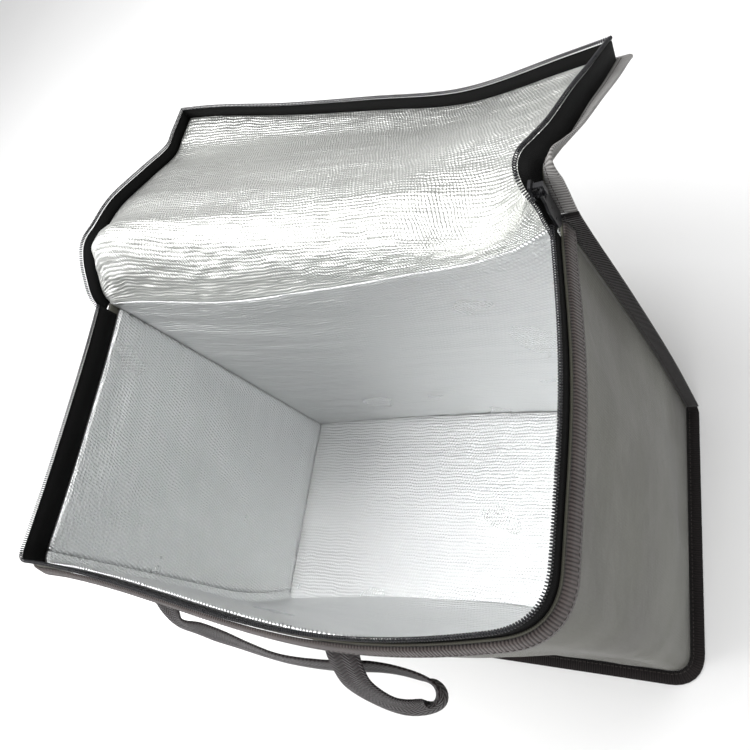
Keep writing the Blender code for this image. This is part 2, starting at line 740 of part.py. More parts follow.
def slider_seat(face, away):
    """Middle of the zip slider on the lid's coil above the right rear corner, and the outermost X of the zip below it."""
    points, outwards, ups = lid_border(face, away)
    coil = points + ups * (LID_TAPE_STAND + LID_COIL_GAP + COIL_RADIUS)
    foot = points - outwards * GAP - ups * (INNER - CLOTH)
    top = points - outwards * GAP + ups * LID_TAPE_STAND
    row = len(coil) - 1 - SLIDER_ROWS_UP
    slopes = (foot - top)[:, 0] / (INNER - CLOTH + LID_TAPE_STAND)
    beside = coil[:, 0] + COIL_RADIUS + np.maximum(slopes, 0.0) * COIL_RADIUS
    seat = coil[row].copy()
    seat[0] = beside[row] + SEAM_GAP + GAP
    return seat, np.max((beside + slopes * TAB_WIDTH / 2)[row:])


def make_slider(seat, beside, metal):
    """Zip slider: a plate outside the coil with a bridge that holds the pull tab."""
    inner = seat[0] + GAP
    outer = inner + SLIDER_PLATE
    rings = []
    for share, narrowing in SLIDER_SHAPE:
        z = seat[2] + share * SLIDER_LENGTH / 2
        half = SLIDER_WIDTH / 2 * narrowing
        plan = ((inner, -half), (outer, -half), (outer, half), (inner, half))
        rings.append([(x, seat[1] + y, z) for x, y in plan])
    slider = loft("zip_slider", rings, metal)
    half = BRIDGE_WIDTH / 2
    low = seat[2] - BRIDGE_LENGTH / 2
    high = seat[2] + BRIDGE_LENGTH / 2
    axis_x = max(outer + TAB_STAND, beside + GAP) + TAB_THICKNESS / 2
    room = axis_x + TAB_THICKNESS / 2 + TAB_STAND
    arch_low = (outer - SLIDER_PLATE / 2, seat[1] - half, low)
    bridge = box("bridge", arch_low, (room + BRIDGE_BAR, seat[1] + half, high), metal)
    room_low = (outer, seat[1] - 2 * half, low + BRIDGE_BAR)
    room_high = (room, seat[1] + 2 * half, high - BRIDGE_BAR)
    combine(bridge, box("bridge_room", room_low, room_high, metal), "DIFFERENCE")
    combine(slider, bridge, "UNION")
    return np.array((axis_x, seat[1], low + BRIDGE_BAR + GAP + TAB_THICKNESS / 2))


def make_tab(axis, metal):
    """Pull tab hanging from the bridge, with its origin on the axis it turns about."""
    top = TAB_THICKNESS / 2
    end = TAB_LENGTH - TAB_WIDTH / 2
    outline_points = [(-TAB_NECK / 2, top), (-TAB_NECK / 2, -TAB_EYE_DROP), (-TAB_WIDTH / 2, -TAB_EYE_DROP * 2)]
    for i in range(TAB_ROUND_STEPS + 1):
        turn = math.pi * (1 + i / TAB_ROUND_STEPS)
        outline_points.append((TAB_WIDTH / 2 * math.cos(turn), TAB_WIDTH / 2 * math.sin(turn) - end + top))
    outline_points += [(TAB_WIDTH / 2, -TAB_EYE_DROP * 2), (TAB_NECK / 2, -TAB_EYE_DROP), (TAB_NECK / 2, top)]
    rings = []
    for x in (-TAB_THICKNESS / 2, TAB_THICKNESS / 2):
        rings.append([axis + np.array((x, y, z)) for y, z in outline_points])
    tab = loft("pull_tab", rings, metal)
    half = BRIDGE_WIDTH / 2 + TAB_SIDE_CLEARANCE
    low = axis + np.array((-TAB_THICKNESS, -half, -TAB_THICKNESS / 2 - TAB_WINDOW))
    high = axis + np.array((TAB_THICKNESS, half, -TAB_THICKNESS / 2))
    combine(tab, box("tab_window", low, high, metal), "DIFFERENCE")
    pivot = axis - np.array((LENGTH / 2, DEPTH / 2, 0.0))
    for piece in (tab, bpy.data.objects["tab_window"]):
        piece.data.transform(Matrix.Translation(-pivot))
        piece.location = pivot


def main():
    """Builds every piece of the bag."""
    for old in list(bpy.data.objects):
        bpy.data.objects.remove(old, do_unlink=True)
    olive = material("olive_cloth", OLIVE, 0.75)
    foil = material("silver_foil", FOIL, 0.30, 1.0)
    black = material("black_zip", ZIP_BLACK, 0.60)
    trim = material("ribbed_trim", TRIM, 0.80)
    dark_trim = material("dark_trim", TRIM_DARK, 0.80)
    webbing = material("dark_webbing", WEBBING, 0.80)
    metal = material("black_metal", SLIDER_METAL, 0.35, 1.0)
    make_band(olive)
    make_base(olive, foil)
    make_side_linings(foil)
    face, away = make_strip(olive, foil)
    make_body_zip(black)
    make_rim_binding(trim)
    make_bottom_binding(dark_trim)
    make_rear_bindings(face, away, dark_trim)
    make_lid_trim(face, away, black, trim)
    make_handle(webbing)
    seat, beside = slider_seat(face, away)
    make_tab(make_slider(seat, beside, metal), metal)


main()
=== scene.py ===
"""Dresses the cooler bag: cloth, foil lining, zip, bindings, handle, studio and camera."""

from __future__ import annotations

import logging
import math
from collections.abc import Sequence
from dataclasses import dataclass
from enum import Enum

import bpy
import numpy as np
from mathutils import Matrix


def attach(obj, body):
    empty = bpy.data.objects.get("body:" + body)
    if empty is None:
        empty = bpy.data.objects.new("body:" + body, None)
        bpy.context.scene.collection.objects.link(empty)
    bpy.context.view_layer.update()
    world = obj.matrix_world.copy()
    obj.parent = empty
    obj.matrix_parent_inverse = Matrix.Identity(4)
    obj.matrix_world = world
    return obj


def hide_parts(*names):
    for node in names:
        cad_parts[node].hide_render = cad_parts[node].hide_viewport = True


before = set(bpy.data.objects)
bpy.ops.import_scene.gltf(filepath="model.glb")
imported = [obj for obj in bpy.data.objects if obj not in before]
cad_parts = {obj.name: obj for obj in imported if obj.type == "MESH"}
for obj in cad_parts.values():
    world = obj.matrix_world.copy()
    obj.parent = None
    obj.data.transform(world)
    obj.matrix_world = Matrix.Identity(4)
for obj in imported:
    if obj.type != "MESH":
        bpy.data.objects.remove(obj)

LOG = logging.getLogger("cooler_bag")

# Heights of the form tables as shares of the wall height; plan shifts as shares of the depth
CORNER_HEIGHTS = (0.0, 0.35, 0.70, 1.0, 1.08)
CORNERS = {
    "fl": ((0.000, 0.000), (-0.004, 0.004), (-0.006, 0.012), (-0.006, 0.016), (-0.006, 0.016)),
    "fr": ((-0.024, 0.010), (-0.024, 0.010), (-0.028, 0.016), (-0.034, 0.020), (-0.036, 0.020)),
    "rl": ((0.000, 0.000), (-0.012, 0.012), (-0.024, 0.024), (-0.036, 0.032), (-0.036, 0.032)),
    "rr": ((-0.024, -0.020), (-0.034, -0.016), (-0.056, -0.016), (-0.080, -0.020), (-0.084, -0.022)),
}
BOW_HEIGHTS = (0.0, 0.30, 0.60, 1.0, 1.08)
BOWS = {
    "left": (0.000, 0.008, 0.000, -0.016, -0.016),
    "front": (0.000, 0.052, 0.080, 0.084, 0.084),
    "right": (0.000, 0.014, 0.020, 0.026, 0.026),
    "rear": (0.024, 0.020, 0.012, 0.004, 0.004),
    "lean": (1.0, 1.1, 1.3, 1.7, 1.7),
}
# Wall, place along and up as shares of the wall, inward depth, reach along and reach up
DENTS = (
    ("right", 0.24, 0.74, 0.018, 0.34, 0.34),
    ("right", 0.82, 0.70, 0.020, 0.30, 0.30),
    ("right", 0.55, 0.46, -0.016, 0.40, 0.40),
    ("right", 0.80, 0.24, 0.010, 0.34, 0.24),
    ("front", 0.90, 0.34, 0.034, 0.30, 0.50),
    ("front", 0.72, 0.60, -0.010, 0.30, 0.40),
    ("front", 0.22, 0.55, 0.014, 0.50, 0.60),
    ("left", 0.30, 0.50, 0.012, 0.26, 0.50),
    ("left", 0.78, 0.60, 0.012, 0.22, 0.50),
    ("rear", 0.35, 0.55, 0.012, 0.50, 0.60),
)
FOOT = ((0.0, 0.35, 0.60, 1.0), (0.06, 0.13, 0.15, 0.10))
# Foil face of the lid: left in, back, up, right in, back, up, then rises at the inner stations
LID = (
    (-0.030, 0.012, 0.012, 0.080, -0.040, 0.020, -0.016, -0.116, -0.128, -0.124, -0.072),
    (-0.030, 0.032, 0.048, 0.082, -0.028, 0.088, 0.032, -0.072, -0.104, -0.128, -0.104),
    (-0.028, 0.080, 0.084, 0.082, -0.016, 0.160, 0.072, -0.040, -0.094, -0.148, -0.156),
    (-0.026, 0.136, 0.120, 0.080, 0.016, 0.184, 0.096, -0.008, -0.086, -0.147, -0.172),
    (-0.022, 0.192, 0.140, 0.070, 0.088, 0.140, 0.072, 0.012, -0.060, -0.108, -0.136),
    (-0.018, 0.264, 0.128, 0.052, 0.168, 0.096, 0.048, 0.008, -0.040, -0.080, -0.100),
    (-0.012, 0.396, 0.104, 0.034, 0.328, 0.016, 0.024, -0.008, -0.048, -0.080, -0.060),
    (-0.004, 0.584, 0.028, 0.018, 0.460, -0.056, 0.012, -0.024, -0.060, -0.088, -0.044),
    (0.006, 0.752, -0.040, 0.010, 0.568, -0.116, 0.000, -0.040, -0.072, -0.104, -0.036),
    (0.014, 0.852, -0.044, 0.008, 0.616, -0.144, -0.004, -0.056, -0.084, -0.112, -0.032),
    (0.026, 0.964, -0.044, 0.008, 0.652, -0.168, -0.008, -0.064, -0.096, -0.120, -0.028),
)
STATIONS = (0.0, 0.07, 0.30, 0.50, 0.70, 0.93, 1.0)
# Middle line of the handle: along, off the cloth, up, and the direction of its width
STRAP = (
    (0.00, 0.000, 0.000, 1.0, 0.0, 0.0),
    (0.01, 0.018, -0.070, 1.0, 0.0, 0.0),
    (0.08, 0.082, -0.135, 0.9, 0.1, 0.5),
    (0.20, 0.085, -0.175, 0.5, 0.4, 0.9),
    (0.34, 0.085, -0.190, 0.2, 0.4, 1.0),
    (0.50, 0.090, -0.195, 0.1, 0.3, 1.0),
    (0.68, 0.090, -0.190, 0.1, 0.2, 1.0),
    (0.86, 0.075, -0.230, 0.1, 0.2, 1.0),
    (1.02, 0.055, -0.290, 0.1, 0.2, 1.0),
    (1.14, 0.065, -0.340, 0.2, 0.2, 1.0),
    (1.22, 0.100, -0.400, 0.3, 0.2, 1.0),
    (1.22, 0.160, -0.440, 0.2, 0.3, 1.0),
    (1.14, 0.185, -0.420, 0.3, 0.4, 0.9),
    (1.06, 0.170, -0.330, 0.6, 0.3, 0.7),
    (1.01, 0.120, -0.200, 0.9, 0.2, 0.3),
    (1.00, 0.050, -0.110, 1.0, 0.0, 0.0),
    (1.00, 0.002, -0.060, 1.0, 0.0, 0.0),
    (1.00, 0.000, 0.000, 1.0, 0.0, 0.0),
)

Array = np.ndarray


class Side(Enum):
    """The two short walls."""

    LEFT = "left"
    RIGHT = "right"


def smooth(knots: Sequence[float], values: Sequence[float], at: Array | float) -> Array:
    """Cubic curve through values.

    Args:
        knots: Increasing places of the values.
        values: Values at the knots.
        at: Places to read.

    Returns:
        The curve's values at those places.
    """
    knot = np.asarray(knots, float)
    value = np.asarray(values, float)
    place = np.clip(np.asarray(at, float), knot[0], knot[-1])
    slopes = np.gradient(value, knot)
    cell = np.clip(np.searchsorted(knot, place, side="right") - 1, 0, len(knot) - 2)
    span = knot[cell + 1] - knot[cell]
    t = (place - knot[cell]) / span
    rise = value[cell + 1] - value[cell]
    start = slopes[cell] * span
    end = slopes[cell + 1] * span
    return value[cell] + t * start + t**2 * (3 * rise - 2 * start - end) + t**3 * (start + end - 2 * rise)


def noise(x: Array, y: Array, seed: int) -> Array:
    """Smooth random field with cells one unit wide.

    Args:
        x: First coordinate.
        y: Second coordinate.
        seed: Seed of the field.

    Returns:
        Values from about -1 to 1.
    """
    cells = 64
    lattice = np.random.default_rng(seed).uniform(-1.0, 1.0, (cells, cells))
    x, y = np.broadcast_arrays(np.asarray(x, float), np.asarray(y, float))
    column, row = np.floor(x).astype(int), np.floor(y).astype(int)
    fx, fy = x - column, y - row
    fx, fy = fx * fx * fx * (fx * (6 * fx - 15) + 10), fy * fy * fy * (fy * (6 * fy - 15) + 10)
    near = lattice[column % cells, row % cells] * (1 - fx) + lattice[(column + 1) % cells, row % cells] * fx
    far = lattice[column % cells, (row + 1) % cells] * (1 - fx)
    far = far + lattice[(column + 1) % cells, (row + 1) % cells] * fx
    return near * (1 - fy) + far * fy


def unit(vectors: Array) -> Array:
    """Vectors along the last axis at length one."""
    return vectors / np.maximum(np.linalg.norm(vectors, axis=-1, keepdims=True), 1e-12)


def ramp(values: Array, low: float, high: float) -> Array:
    """Smooth step from 0 at low to 1 at high."""
    t = np.clip((values - low) / (high - low), 0.0, 1.0)
    return t * t * (3 - 2 * t)


@dataclass(frozen=True)
class BagForm:
    """Sizes and surfaces of the sewn bag, measured from the front left corner of the floor."""

    length: float = 0.460
    depth: float = 0.250
    height: float = 0.340
    cloth: float = 0.0015
    lining: float = 0.0035
    gap: float = 0.0003
    layer_gap: float = 0.0005
    seam_gap: float = 0.0006
    tape: float = 0.0008
    tape_band: float = 0.020
    tape_above: float = 0.012
    lid_tape: float = 0.0105
    coil: float = 0.0015
    lid_coil_gap: float = 0.0005
    binding: float = 0.011
    binding_thick: float = 0.0020
    flare: float = math.radians(16)
    foot_height: float = 0.110

    @property
    def inner(self) -> float:
        """Depth of the foil face under the cloth's outer face."""
        return self.cloth + self.layer_gap + self.lining

    @property
    def floor_top(self) -> float:
        """Height of the foil face of the base."""
        return self.cloth + self.gap + self.lining

    @property
    def tape_top(self) -> float:
        """Height of the rim tape's upper edge."""
        return self.height + self.tape_above

    def corner(self, name: str, z: float) -> Array:
        """Plan position of a corner: fl, fr, rl or rr."""
        shifts = np.array(CORNERS[name])
        share = z / self.height
        shift = np.array([float(smooth(CORNER_HEIGHTS, shifts[:, i], share)) for i in (0, 1)])
        base = np.array((self.length if name[1] == "r" else 0.0, self.depth if name[0] == "r" else 0.0))
        return base + self.depth * shift

    def bow(self, name: str, z: float) -> float:
        """Outward bow of a wall at a height, as a share of the depth."""
        return float(smooth(BOW_HEIGHTS, BOWS[name], z / self.height))

    def dented(self, wall: str, along: Array, z: float) -> Array:
        """Inward push of one wall's dents."""
        total = np.zeros_like(along)
        for name, place, up, inward, reach_along, reach_up in DENTS:
            if name == wall:
                a = (along - place) / reach_along
                b = (z / self.height - up) / reach_up
                total = total + inward * np.exp(-2.0 * (a * a + b * b))
        ends = np.minimum(1.0, 12 * np.minimum(along, 1 - along))
        return self.depth * total * min(1.0, z / self.height * 6) * ends

    def side_x(self, side: Side, y: Array, z: float) -> Array:
        """X of the outer face of a short wall."""
        front = self.corner("f" + side.value[0], z)
        rear = self.corner("r" + side.value[0], z)
        share = np.clip((np.asarray(y, float) - front[1]) / (rear[1] - front[1]), 0.0, 1.0)
        outward = self.depth * self.bow(side.value, z) * np.sin(math.pi * share) - self.dented(side.value, share, z)
        sign = 1.0 if side is Side.RIGHT else -1.0
        return front[0] + (rear[0] - front[0]) * share + sign * outward

    def front_y(self, x: Array, z: float) -> Array:
        """Y of the outer face of the front wall."""
        left = self.corner("fl", z)
        right = self.corner("fr", z)
        share = np.clip((np.asarray(x, float) - left[0]) / (right[0] - left[0]), 0.0, 1.0)
        bow = self.depth * self.bow("front", z) * np.sin(math.pi * share ** self.bow("lean", z))
        return left[1] + (right[1] - left[1]) * share - bow + self.dented("front", share, z)

    def rear_y(self, x: Array, z: float) -> Array:
        """Y of the outer face of the rear wall."""
        left = self.corner("rl", z)
        right = self.corner("rr", z)
        share = np.clip((np.asarray(x, float) - left[0]) / (right[0] - left[0]), 0.0, 1.0)
        bow = self.depth * self.bow("rear", z) * np.sin(math.pi * share)
        return left[1] + (right[1] - left[1]) * share + bow - self.dented("rear", share, z)

    def foot_push(self, x: Array, z: Array) -> Array:
        """How far the front lining's foot comes in."""
        amount = self.depth * smooth(FOOT[0], FOOT[1], np.asarray(x) / self.length)
        rest = np.maximum(0.0, 1 - (np.asarray(z) - self.floor_top) / self.foot_height)
        return amount * rest**2

    def outline(self, z: float, side_steps: int, corner_steps: int, front_steps: int) -> Array:
        """Outer face of the left, front and right walls at one height.

        Args:
            z: Height of the line.
            side_steps: Steps along each short wall.
            corner_steps: Steps round each front corner.
            front_steps: Steps along the front wall.

        Returns:
            Plan points from the rear left to the rear right.
        """
        fl, fr, rl, rr = (self.corner(name, z) for name in ("fl", "fr", "rl", "rr"))
        share = min(z / self.height, 1.0)
        left_round = 0.016 - 0.002 * share
        right_round = 0.018 + 0.012 * share
        ys = np.linspace(rl[1], fl[1] + left_round, side_steps + 1)
        left = np.column_stack([self.side_x(Side.LEFT, ys, z), ys])
        xs = np.linspace(fl[0] + left_round, fr[0] - right_round, front_steps + 1)
        front = np.column_stack([xs, self.front_y(xs, z)])
        ys = np.linspace(fr[1] + right_round, rr[1], side_steps + 1)
        right = np.column_stack([self.side_x(Side.RIGHT, ys, z), ys])
        t = (np.arange(1, corner_steps) / corner_steps)[:, None]

        def turned(start: Array, middle: Array, end: Array) -> Array:
            """Inner points of a rounded corner."""
            return (1 - t) ** 2 * start + 2 * t * (1 - t) * middle + t * t * end

        return np.concatenate([left, turned(left[-1], fl, front[0]), front, turned(front[-1], fr, right[0]), right])

    def lid_face(self, shares: Array, across: Array) -> Array:
        """Foil face of the lid.

        Args:
            shares: Places from the hinge, 0, to the free edge, 1.
            across: Places from the left edge, 0, to the right edge, 1.

        Returns:
            Points in rows along the lid and columns across it.
        """
        table = np.array(LID)
        steps = np.asarray(shares) * (len(LID) - 1)
        read = np.stack([smooth(range(len(LID)), table[:, i], steps) for i in range(table.shape[1])], axis=1)
        read = read * self.depth
        left = np.stack([read[:, 0], self.depth + read[:, 1], self.height + read[:, 2]], axis=1)
        right = np.stack([self.length - read[:, 3], self.depth + read[:, 4], self.height + read[:, 5]], axis=1)
        u = np.asarray(across)[None, :, None]
        points = left[:, None] + (right - left)[:, None] * u
        for i in range(len(steps)):
            rises = [0.0, *read[i, 6:], 0.0]
            points[i, :, 2] += smooth(STATIONS, rises, across)
        return points

    def rear_face(self, shares: Array, across: Array, hinge: Array) -> Array:
        """Foil face of the rear wall, from the floor, 0, to the lid's hinge row, 1."""
        rows = []
        low = self.cloth + self.gap
        for share in shares:
            z = low + (hinge[:, 2] - low) * share
            row = []
            for u, height, end in zip(across, z, hinge):
                left = float(self.side_x(Side.LEFT, self.depth, height))
                right = float(self.side_x(Side.RIGHT, self.depth, height))
                x = left + (right - left) * u
                wall = float(self.rear_y(x, height)) - self.inner
                y = wall + (end[1] - float(self.rear_y(end[0], end[2])) + self.inner) * share**4
                row.append((x, y, height))
            rows.append(row)
        return np.array(rows)


FORM = BagForm()


def inset(points: Array, distance: float) -> Array:
    """A plan line moved to the left of its direction of travel."""
    ahead = unit(np.gradient(points, axis=0))
    return points + np.stack([-ahead[:, 1], ahead[:, 0]], axis=1) * distance


def lengths(grid: Array) -> tuple[Array, Array]:
    """Distances along the middle column and along the middle row of a grid."""
    middle = grid[:, grid.shape[1] // 2]
    row = grid[grid.shape[0] // 2]
    up = np.concatenate([[0.0], np.cumsum(np.linalg.norm(np.diff(middle, axis=0), axis=1))])
    along = np.concatenate([[0.0], np.cumsum(np.linalg.norm(np.diff(row, axis=0), axis=1))])
    return up, along


def mesh_object(name: str, points: Array, faces: Sequence[Sequence[int]], uvs: Array | None) -> bpy.types.Object:
    """Makes a smooth-shaded mesh from points measured from the front left floor corner.

    Args:
        name: Name of the piece.
        points: Points in metres.
        faces: Faces, pointing outwards.
        uvs: One place in metres for each point, or None.

    Returns:
        The new object.
    """
    middle = np.array((FORM.length / 2, FORM.depth / 2, 0.0))
    mesh = bpy.data.meshes.new(name)
    mesh.from_pydata((np.asarray(points) - middle).tolist(), [], [list(face) for face in faces])
    mesh.polygons.foreach_set("use_smooth", [True] * len(mesh.polygons))
    if uvs is not None:
        layer = mesh.uv_layers.new(name="Cut")
        corners = np.empty(len(mesh.loops), np.int32)
        mesh.loops.foreach_get("vertex_index", corners)
        layer.data.foreach_set("uv", np.asarray(uvs, np.float32)[corners].ravel())
    made = bpy.data.objects.new(name, mesh)
    bpy.context.scene.collection.objects.link(made)
    return made


def turn_outwards(made: bpy.types.Object) -> None:
    """Turns the faces of a closed mesh outwards if its volume is negative."""
    mesh = made.data
    mesh.calc_loop_triangles()
    points = np.empty(len(mesh.vertices) * 3)
    mesh.vertices.foreach_get("co", points)
    triangles = np.empty(len(mesh.loop_triangles) * 3, np.int32)
    mesh.loop_triangles.foreach_get("vertices", triangles)
    corners = points.reshape(-1, 3)[triangles.reshape(-1, 3)]
    if np.linalg.det(corners).sum() < 0:
        mesh.flip_normals()


def slab(name: str, near: Array, far: Array, slide: float = 0.0) -> bpy.types.Object:
    """A closed sheet between two grids.

    Args:
        name: Name of the piece.
        near: Grid of the face that shows.
        far: Grid of the other face.
        slide: Shift of the cut's places, so that pieces differ.

    Returns:
        The new object.
    """
    rows, columns = near.shape[:2]
    count = rows * columns
    index = np.arange(count).reshape(rows, columns)
    quads = np.stack([index[:-1, :-1], index[:-1, 1:], index[1:, 1:], index[1:, :-1]], axis=-1).reshape(-1, 4)
    faces = quads.tolist() + (quads[:, ::-1] + count).tolist()
    rim = [*index[0], *index[1:, -1], *index[-1, -2::-1], *index[-2:0:-1, 0]]
    faces += [(b, a, a + count, b + count) for a, b in zip(rim, rim[1:] + rim[:1])]
    up, along = lengths(near)
    v, u = np.meshgrid(up + slide, along + slide, indexing="ij")
    uvs = np.stack([u.ravel(), v.ravel()], axis=1)
    made = mesh_object(name, np.concatenate([near.reshape(-1, 3), far.reshape(-1, 3)]), faces, np.tile(uvs, (2, 1)))
    turn_outwards(made)
    return made


def loft(name: str, rings: Array, closed: bool = False) -> bpy.types.Object:
    """A solid through rings of equally many points, with its cut in metres along and round it.

    Args:
        name: Name of the piece.
        rings: Rings of points.
        closed: True if the last ring joins the first.

    Returns:
        The new object.
    """
    rings = np.asarray(rings, float)
    count, sides = rings.shape[:2]
    steps = np.linalg.norm(np.diff(rings.mean(axis=1), axis=0), axis=1)
    v = np.concatenate([[0.0], np.cumsum(steps)])
    round_steps = np.linalg.norm(np.roll(rings[0], -1, axis=0) - rings[0], axis=1)
    u = np.concatenate([[0.0], np.cumsum(round_steps)[:-1]])
    uvs = np.stack([np.tile(u, count), np.repeat(v, sides)], axis=1)
    faces = []
    for i in range(count if closed else count - 1):
        following = ((i + 1) % count - i) * sides
        for j in range(sides):
            a, b = i * sides + j, i * sides + (j + 1) % sides
            faces.append((a, b, b + following, a + following))
    if not closed:
        faces.append(tuple(reversed(range(sides))))
        faces.append(tuple(range((count - 1) * sides, count * sides)))
    made = mesh_object(name, rings.reshape(-1, 3), faces, uvs)
    turn_outwards(made)
    return made


def settle(piece: bpy.types.Object, material: bpy.types.Material, body: str, nodes: Sequence[str]) -> None:
    """Gives a piece its finish, its body and the solids that it stands for."""
    piece.data.materials.clear()
    piece.data.materials.append(material)
    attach(piece, body)
    if nodes:
        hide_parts(*nodes)
    LOG.info("%s: %d faces", piece.name, len(piece.data.polygons))


class Graph:
    """Short way to make shader nodes in one material or world."""

    def __init__(self, tree: bpy.types.NodeTree) -> None:
        """Starts on a node tree."""
        self.tree = tree

    def add(self, kind: str, values: dict[str, object] | None = None, **settings: object) -> bpy.types.Node:
        """Makes a node.

        Args:
            kind: Blender's name of the node's type.
            values: Values, or sockets to link, by the name or place of the input.
            **settings: Properties of the node.

        Returns:
            The new node.
        """
        node = self.tree.nodes.new(kind)
        for name, value in settings.items():
            setattr(node, name, value)
        for name, value in (values or {}).items():
            socket = node.inputs[name]
            if isinstance(value, bpy.types.NodeSocket):
                self.tree.links.new(value, socket)
            else:
                socket.default_value = value
        return node

    def math(self, operation: str, a: object, b: object = 0.0, clamp: bool = False) -> bpy.types.NodeSocket:
        """Result of a calculation with one or two values."""
        return self.add("ShaderNodeMath", {0: a, 1: b}, operation=operation, use_clamp=clamp).outputs[0]

    def noise(self, place: object, scale: float, detail: float = 2.0, rough: float = 0.5) -> bpy.types.NodeSocket:
        """Noise from 0 to 1."""
        values = {"Vector": place, "Scale": scale, "Detail": detail, "Roughness": rough}
        return self.add("ShaderNodeTexNoise", values).outputs[0]

    def stretched(self, place: object, x: float, y: float, z: float = 1.0) -> bpy.types.NodeSocket:
        """A place multiplied along each axis."""
        values = {0: place, 1: (x, y, z)}
        return self.add("ShaderNodeVectorMath", values, operation="MULTIPLY").outputs[0]

    def curve(self, value: object, low: float, high: float, start: float, end: float) -> bpy.types.NodeSocket:
        """A value taken from one range to another."""
        return self.add("ShaderNodeMapRange", {0: value, 1: low, 2: high, 3: start, 4: end}).outputs[0]

    def mix(self, share: object, first: object, second: object) -> bpy.types.NodeSocket:
        """A colour between two colours."""
        node = self.add("ShaderNodeMix", data_type="RGBA")
        for place, value in ((0, share), (6, first), (7, second)):
            if isinstance(value, bpy.types.NodeSocket):
                self.tree.links.new(value, node.inputs[place])
            else:
                node.inputs[place].default_value = value
        return node.outputs[2]


def grey(value: float) -> tuple[float, float, float, float]:
    """A neutral colour."""
    return (value, value, value, 1.0)


def new_material(name: str) -> tuple[bpy.types.Material, Graph, bpy.types.Node]:
    """An empty Principled material with its graph and shader."""
    made = bpy.data.materials.new(name)
    made.use_nodes = True
    graph = Graph(made.node_tree)
    return made, graph, made.node_tree.nodes["Principled BSDF"]


def cut_place(graph: Graph) -> bpy.types.NodeSocket:
    """Place on the flat cut, in metres."""
    return graph.add("ShaderNodeUVMap", uv_map="Cut").outputs[0]


@dataclass(frozen=True)
class FoilFinish:
    """Aluminised film pressed with rows of small dashes."""

    name: str
    tint: tuple[float, float, float, float]
    cell: float = 0.0036
    relief: float = 0.00034
    roughness: float = 0.30
    crumple: float = 0.0006

    def make(self) -> bpy.types.Material:
        """Builds the material.

        Returns:
            The foil material.
        """
        made, graph, shader = new_material(self.name)
        place = cut_place(graph)
        wobble = graph.noise(place, 42.0, 2.0)
        shift = graph.add("ShaderNodeVectorMath", {0: place, 1: (0, 0, 0)}, operation="ADD")
        wave = graph.math("MULTIPLY", graph.math("SUBTRACT", wobble, 0.5), self.cell * 1.6)
        combined = graph.add("ShaderNodeCombineXYZ", {0: wave, 1: wave})
        graph.tree.links.new(combined.outputs[0], shift.inputs[1])
        parts = graph.add("ShaderNodeSeparateXYZ", {0: shift.outputs[0]})
        turn = 2 * math.pi / self.cell
        row = graph.math("MULTIPLY", parts.outputs[1], turn)
        ridge = graph.math("SINE", row)
        column = graph.math("MULTIPLY", parts.outputs[0], turn * 1.15)
        slanted = graph.math("ADD", column, graph.math("MULTIPLY", row, 0.5))
        dash = graph.math("MULTIPLY", graph.math("SINE", slanted), graph.curve(ridge, -1.0, 1.0, 0.35, 1.0))
        weave = graph.math("ADD", graph.math("MULTIPLY", ridge, 0.55), dash)
        fine = graph.noise(graph.stretched(place, 1.0, 1.6), 620.0, 2.0, 0.6)
        creases = graph.noise(graph.stretched(place, 0.5, 1.6), 90.0, 3.0, 0.55)
        height = graph.math("MULTIPLY", weave, self.relief)
        height = graph.math("ADD", height, graph.math("MULTIPLY", fine, self.relief * 1.1))
        height = graph.math("ADD", height, graph.math("MULTIPLY", creases, self.crumple * 3.0))
        bump = graph.add("ShaderNodeBump", {"Strength": 1.0, "Distance": 1.0, "Height": height})
        patch = graph.noise(place, 9.0, 3.0)
        graph.tree.links.new(bump.outputs[0], shader.inputs["Normal"])
        rough = graph.curve(patch, 0.3, 0.7, self.roughness - 0.04, self.roughness + 0.06)
        graph.tree.links.new(rough, shader.inputs["Roughness"])
        # Painted shade: the foil's colour is darkened in the low grooves of the pressed weave, where shade would fall.
        groove_shade_tint = tuple(value * 0.86 for value in self.tint[:3]) + (1.0,)
        groove_shade_share = graph.curve(weave, -1.3, 0.2, 0.0, 1.0)
        graph.tree.links.new(graph.mix(groove_shade_share, groove_shade_tint, self.tint), shader.inputs["Base Color"])
        shader.inputs["Metallic"].default_value = 0.92
        return made


